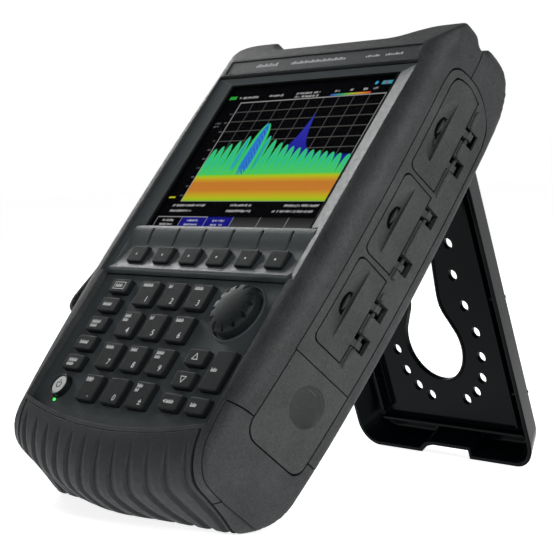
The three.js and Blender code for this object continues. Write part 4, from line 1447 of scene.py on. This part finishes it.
def make_kickstand():
    """The glossy leg: a dished tray with a keyhole, two rows of holes and stiffening ribs."""
    outer = STAND_OUTER
    body = leg_blank([(STAND_RIM, 0.5), (STAND_RIM + 0.5, 0), (outer - 2.2, 0), (outer - 1.3, 0.35),
                      (outer - 0.5, 1.1), (outer, 2.4)])
    hollow = leg_blank([(STAND_RIM - 5, 2.6), (STAND_SKIN - 1.5, 2.6), (STAND_SKIN - 0.5, 3),
                        (STAND_SKIN, 4.2)])
    hole = keyhole_outline()
    drill = [(3.3, -20), (3.3, STAND_SKIN + 0.3), (3.1, STAND_SKIN + 1), (3.1, 20)]
    holes = [turned(drill, side * x, -along, 32) for x, along in SMALL_HOLES for side in (1, -1)]
    cut(body, hollow, block((-66, 66), (STAND_RIM - 5, STAND_SKIN), (-12, 12)))
    lip = face_prism(offset(hole, 1.6), STAND_SKIN - 0.8, STAND_SKIN + 1, 0.6, 0, 4)
    join(body, lip, *stand_ribs())
    cut(body, face_prism(hole, -20, 20), bar_x(0, 0, 2.6, (-60, 60)), *holes)
    pose = Matrix.Translation((0, PIVOT[0], PIVOT[1])) @ Matrix.Rotation(STAND_OPEN, 4, "X")
    body.data.transform(pose)
    finish(body, "kickstand_leg", GLOSS, "stand", ["kickstand"], 32)


def stand_ribs():
    """The leg's stiffening ribs and the two eyes that turn on its pin."""
    outer = STAND_OUTER
    ribs = []
    for side in (-1, 1):
        across = sorted((side * 52.5, side * 63))
        ribs += [
            block((side * 54 - 0.8, side * 54 + 0.8), (1, STAND_SKIN + 1), (-170, -14)),
            block((side * 49.5 - 0.5, side * 49.5 + 0.5), (4.4, STAND_SKIN + 1), (-166, -30)),
            block(across, (2, STAND_SKIN + 1), (-93, -91.4)),
            block(across, (2, STAND_SKIN + 1), (-150, -148.4)),
        ]
        x0, x1 = (49, 55.5) if side > 0 else (-55.5, -49)
        eye = arc((0, 0), (4.8, 4.8), 0, 180, 16)
        root = [(-4.8, -3), (0, -14), (outer - 0.5, -14), (outer - 0.5, 0)]
        ribs.append(side_prism(eye + root, x0, x1))
    ribs.append(block((-57, 57), (1.5, STAND_SKIN + 1), (-176, -174.4)))
    return ribs


def make_ports():
    """Two coaxial ports with threaded barrels."""
    thread = [(8.0 - 0.35 * (i % 2), 3.6 + 0.55 * i) for i in range(19)]
    foot = [(9.5, 0), (9.5, 2.6), (9.1, 3), (8, 3.2)]
    mouth = [(7.4, 14.9), (7, 15), (5.4, 15), (5.2, 14.6), (5.2, 6)]
    y, z = PORT["y"], PORT["z"]
    turns = [2 * math.pi * i / PORT["sides"] for i in range(PORT["sides"])]
    for x, word in ((-PORT["x"], "left"), (PORT["x"], "right")):
        rings = [
            [(x + r * math.cos(t), y + r * math.sin(t), z + rise) for t in turns]
            for r, rise in foot + thread + mouth
        ]
        contact = bar_z(x, y, 1.3, (z + 5, z + 11))
        port = dress(loft(rings), STEEL, [(contact, BRASS)])
        finish(port, f"coaxial_port_{word}", STEEL, "case", [f"rf_port_{word}"], 40)


def make_strap():
    """The webbing strap on the left flank, with rows of stitching at its ends."""
    outer = smooth_curve([(-95.2, 212), (-97.6, 200), (-98.2, 165), (-98.8, 138), (-101.2, 120),
                          (-104.4, 108), (-106, 101), (-104.8, 95.2), (-101, 92), (-95.2, 89.6)], 90)
    inner = smooth_curve([(-95.2, 92.2), (-100.4, 94.2), (-102.8, 96.6), (-103.4, 101), (-102, 107.2),
                          (-98.9, 119), (-96.6, 138), (-95.7, 165), (-95.2, 198), (-95.2, 206)], 90)
    band = face_prism(outer + inner, 9, 33, 0.5, 0.5, 3)
    seams = []
    for y in (11.5, 30.5):
        for i in range(2, 88, 2):
            (x0, z0), (x1, z1) = outer[i], outer[i + 1]
            seams.append(ellipsoid(((x0 + x1) / 2 - 0.1, y, (z0 + z1) / 2), (0.22, 0.25, 0.75), 8))
    dress(band, WEBBING, [(seam, THREAD) for seam in seams])
    finish(band, "webbing_strap", WEBBING, "case", ["hand_strap"], 50)


def make_screws():
    """Cross-head screws in the back of the case."""
    for i, (x, z) in enumerate(((-80, 68), (80, 68), (-80, 225), (80, 225))):
        y = DEPTH - BACK_TAPER * z
        head = turned([(2.9, y - 1), (2.9, y + 0.1), (2.6, y + 0.35), (0.4, y + 0.45)], x, z, 32)
        cut(head, block((x - 1.7, x + 1.7), (y - 0.4, y + 2), (z - 0.3, z + 0.3)),
            block((x - 0.3, x + 0.3), (y - 0.4, y + 2), (z - 1.7, z + 1.7)))
        finish(head, f"case_screw_{i + 1}", STEEL, "case", ())


STEEL_NODES = ("port_plate", "encoder_shaft", "stand_pin", "strap_anchor_upper", "strap_anchor_lower")


def paint_nodes():
    """Finishes for the CAD nodes that show as they are."""
    finishes = {
        "display_window": clear_glass(),
        "lcd_panel": GLOSS,
        "main_board": BOARD,
        "rf_module": SHIELD,
        "battery_pack": CELL,
        "power_lamp": LAMP,
        **dict.fromkeys(STEEL_NODES, STEEL),
    }
    for name, material in finishes.items():
        mesh = NODES[name].data
        mesh.materials.clear()
        mesh.materials.append(material)


add_camera()
add_studio()
make_housings(housing_blank())
make_bumper()
make_guards()
make_panels()
make_doors()
make_battery_door()
discard(CASE)
make_bezel()
make_keypad_plate()
make_keys()
make_power_button()
make_knob()
make_nameplate()
make_screen()
make_kickstand()
make_ports()
make_strap()
make_screws()
paint_nodes()
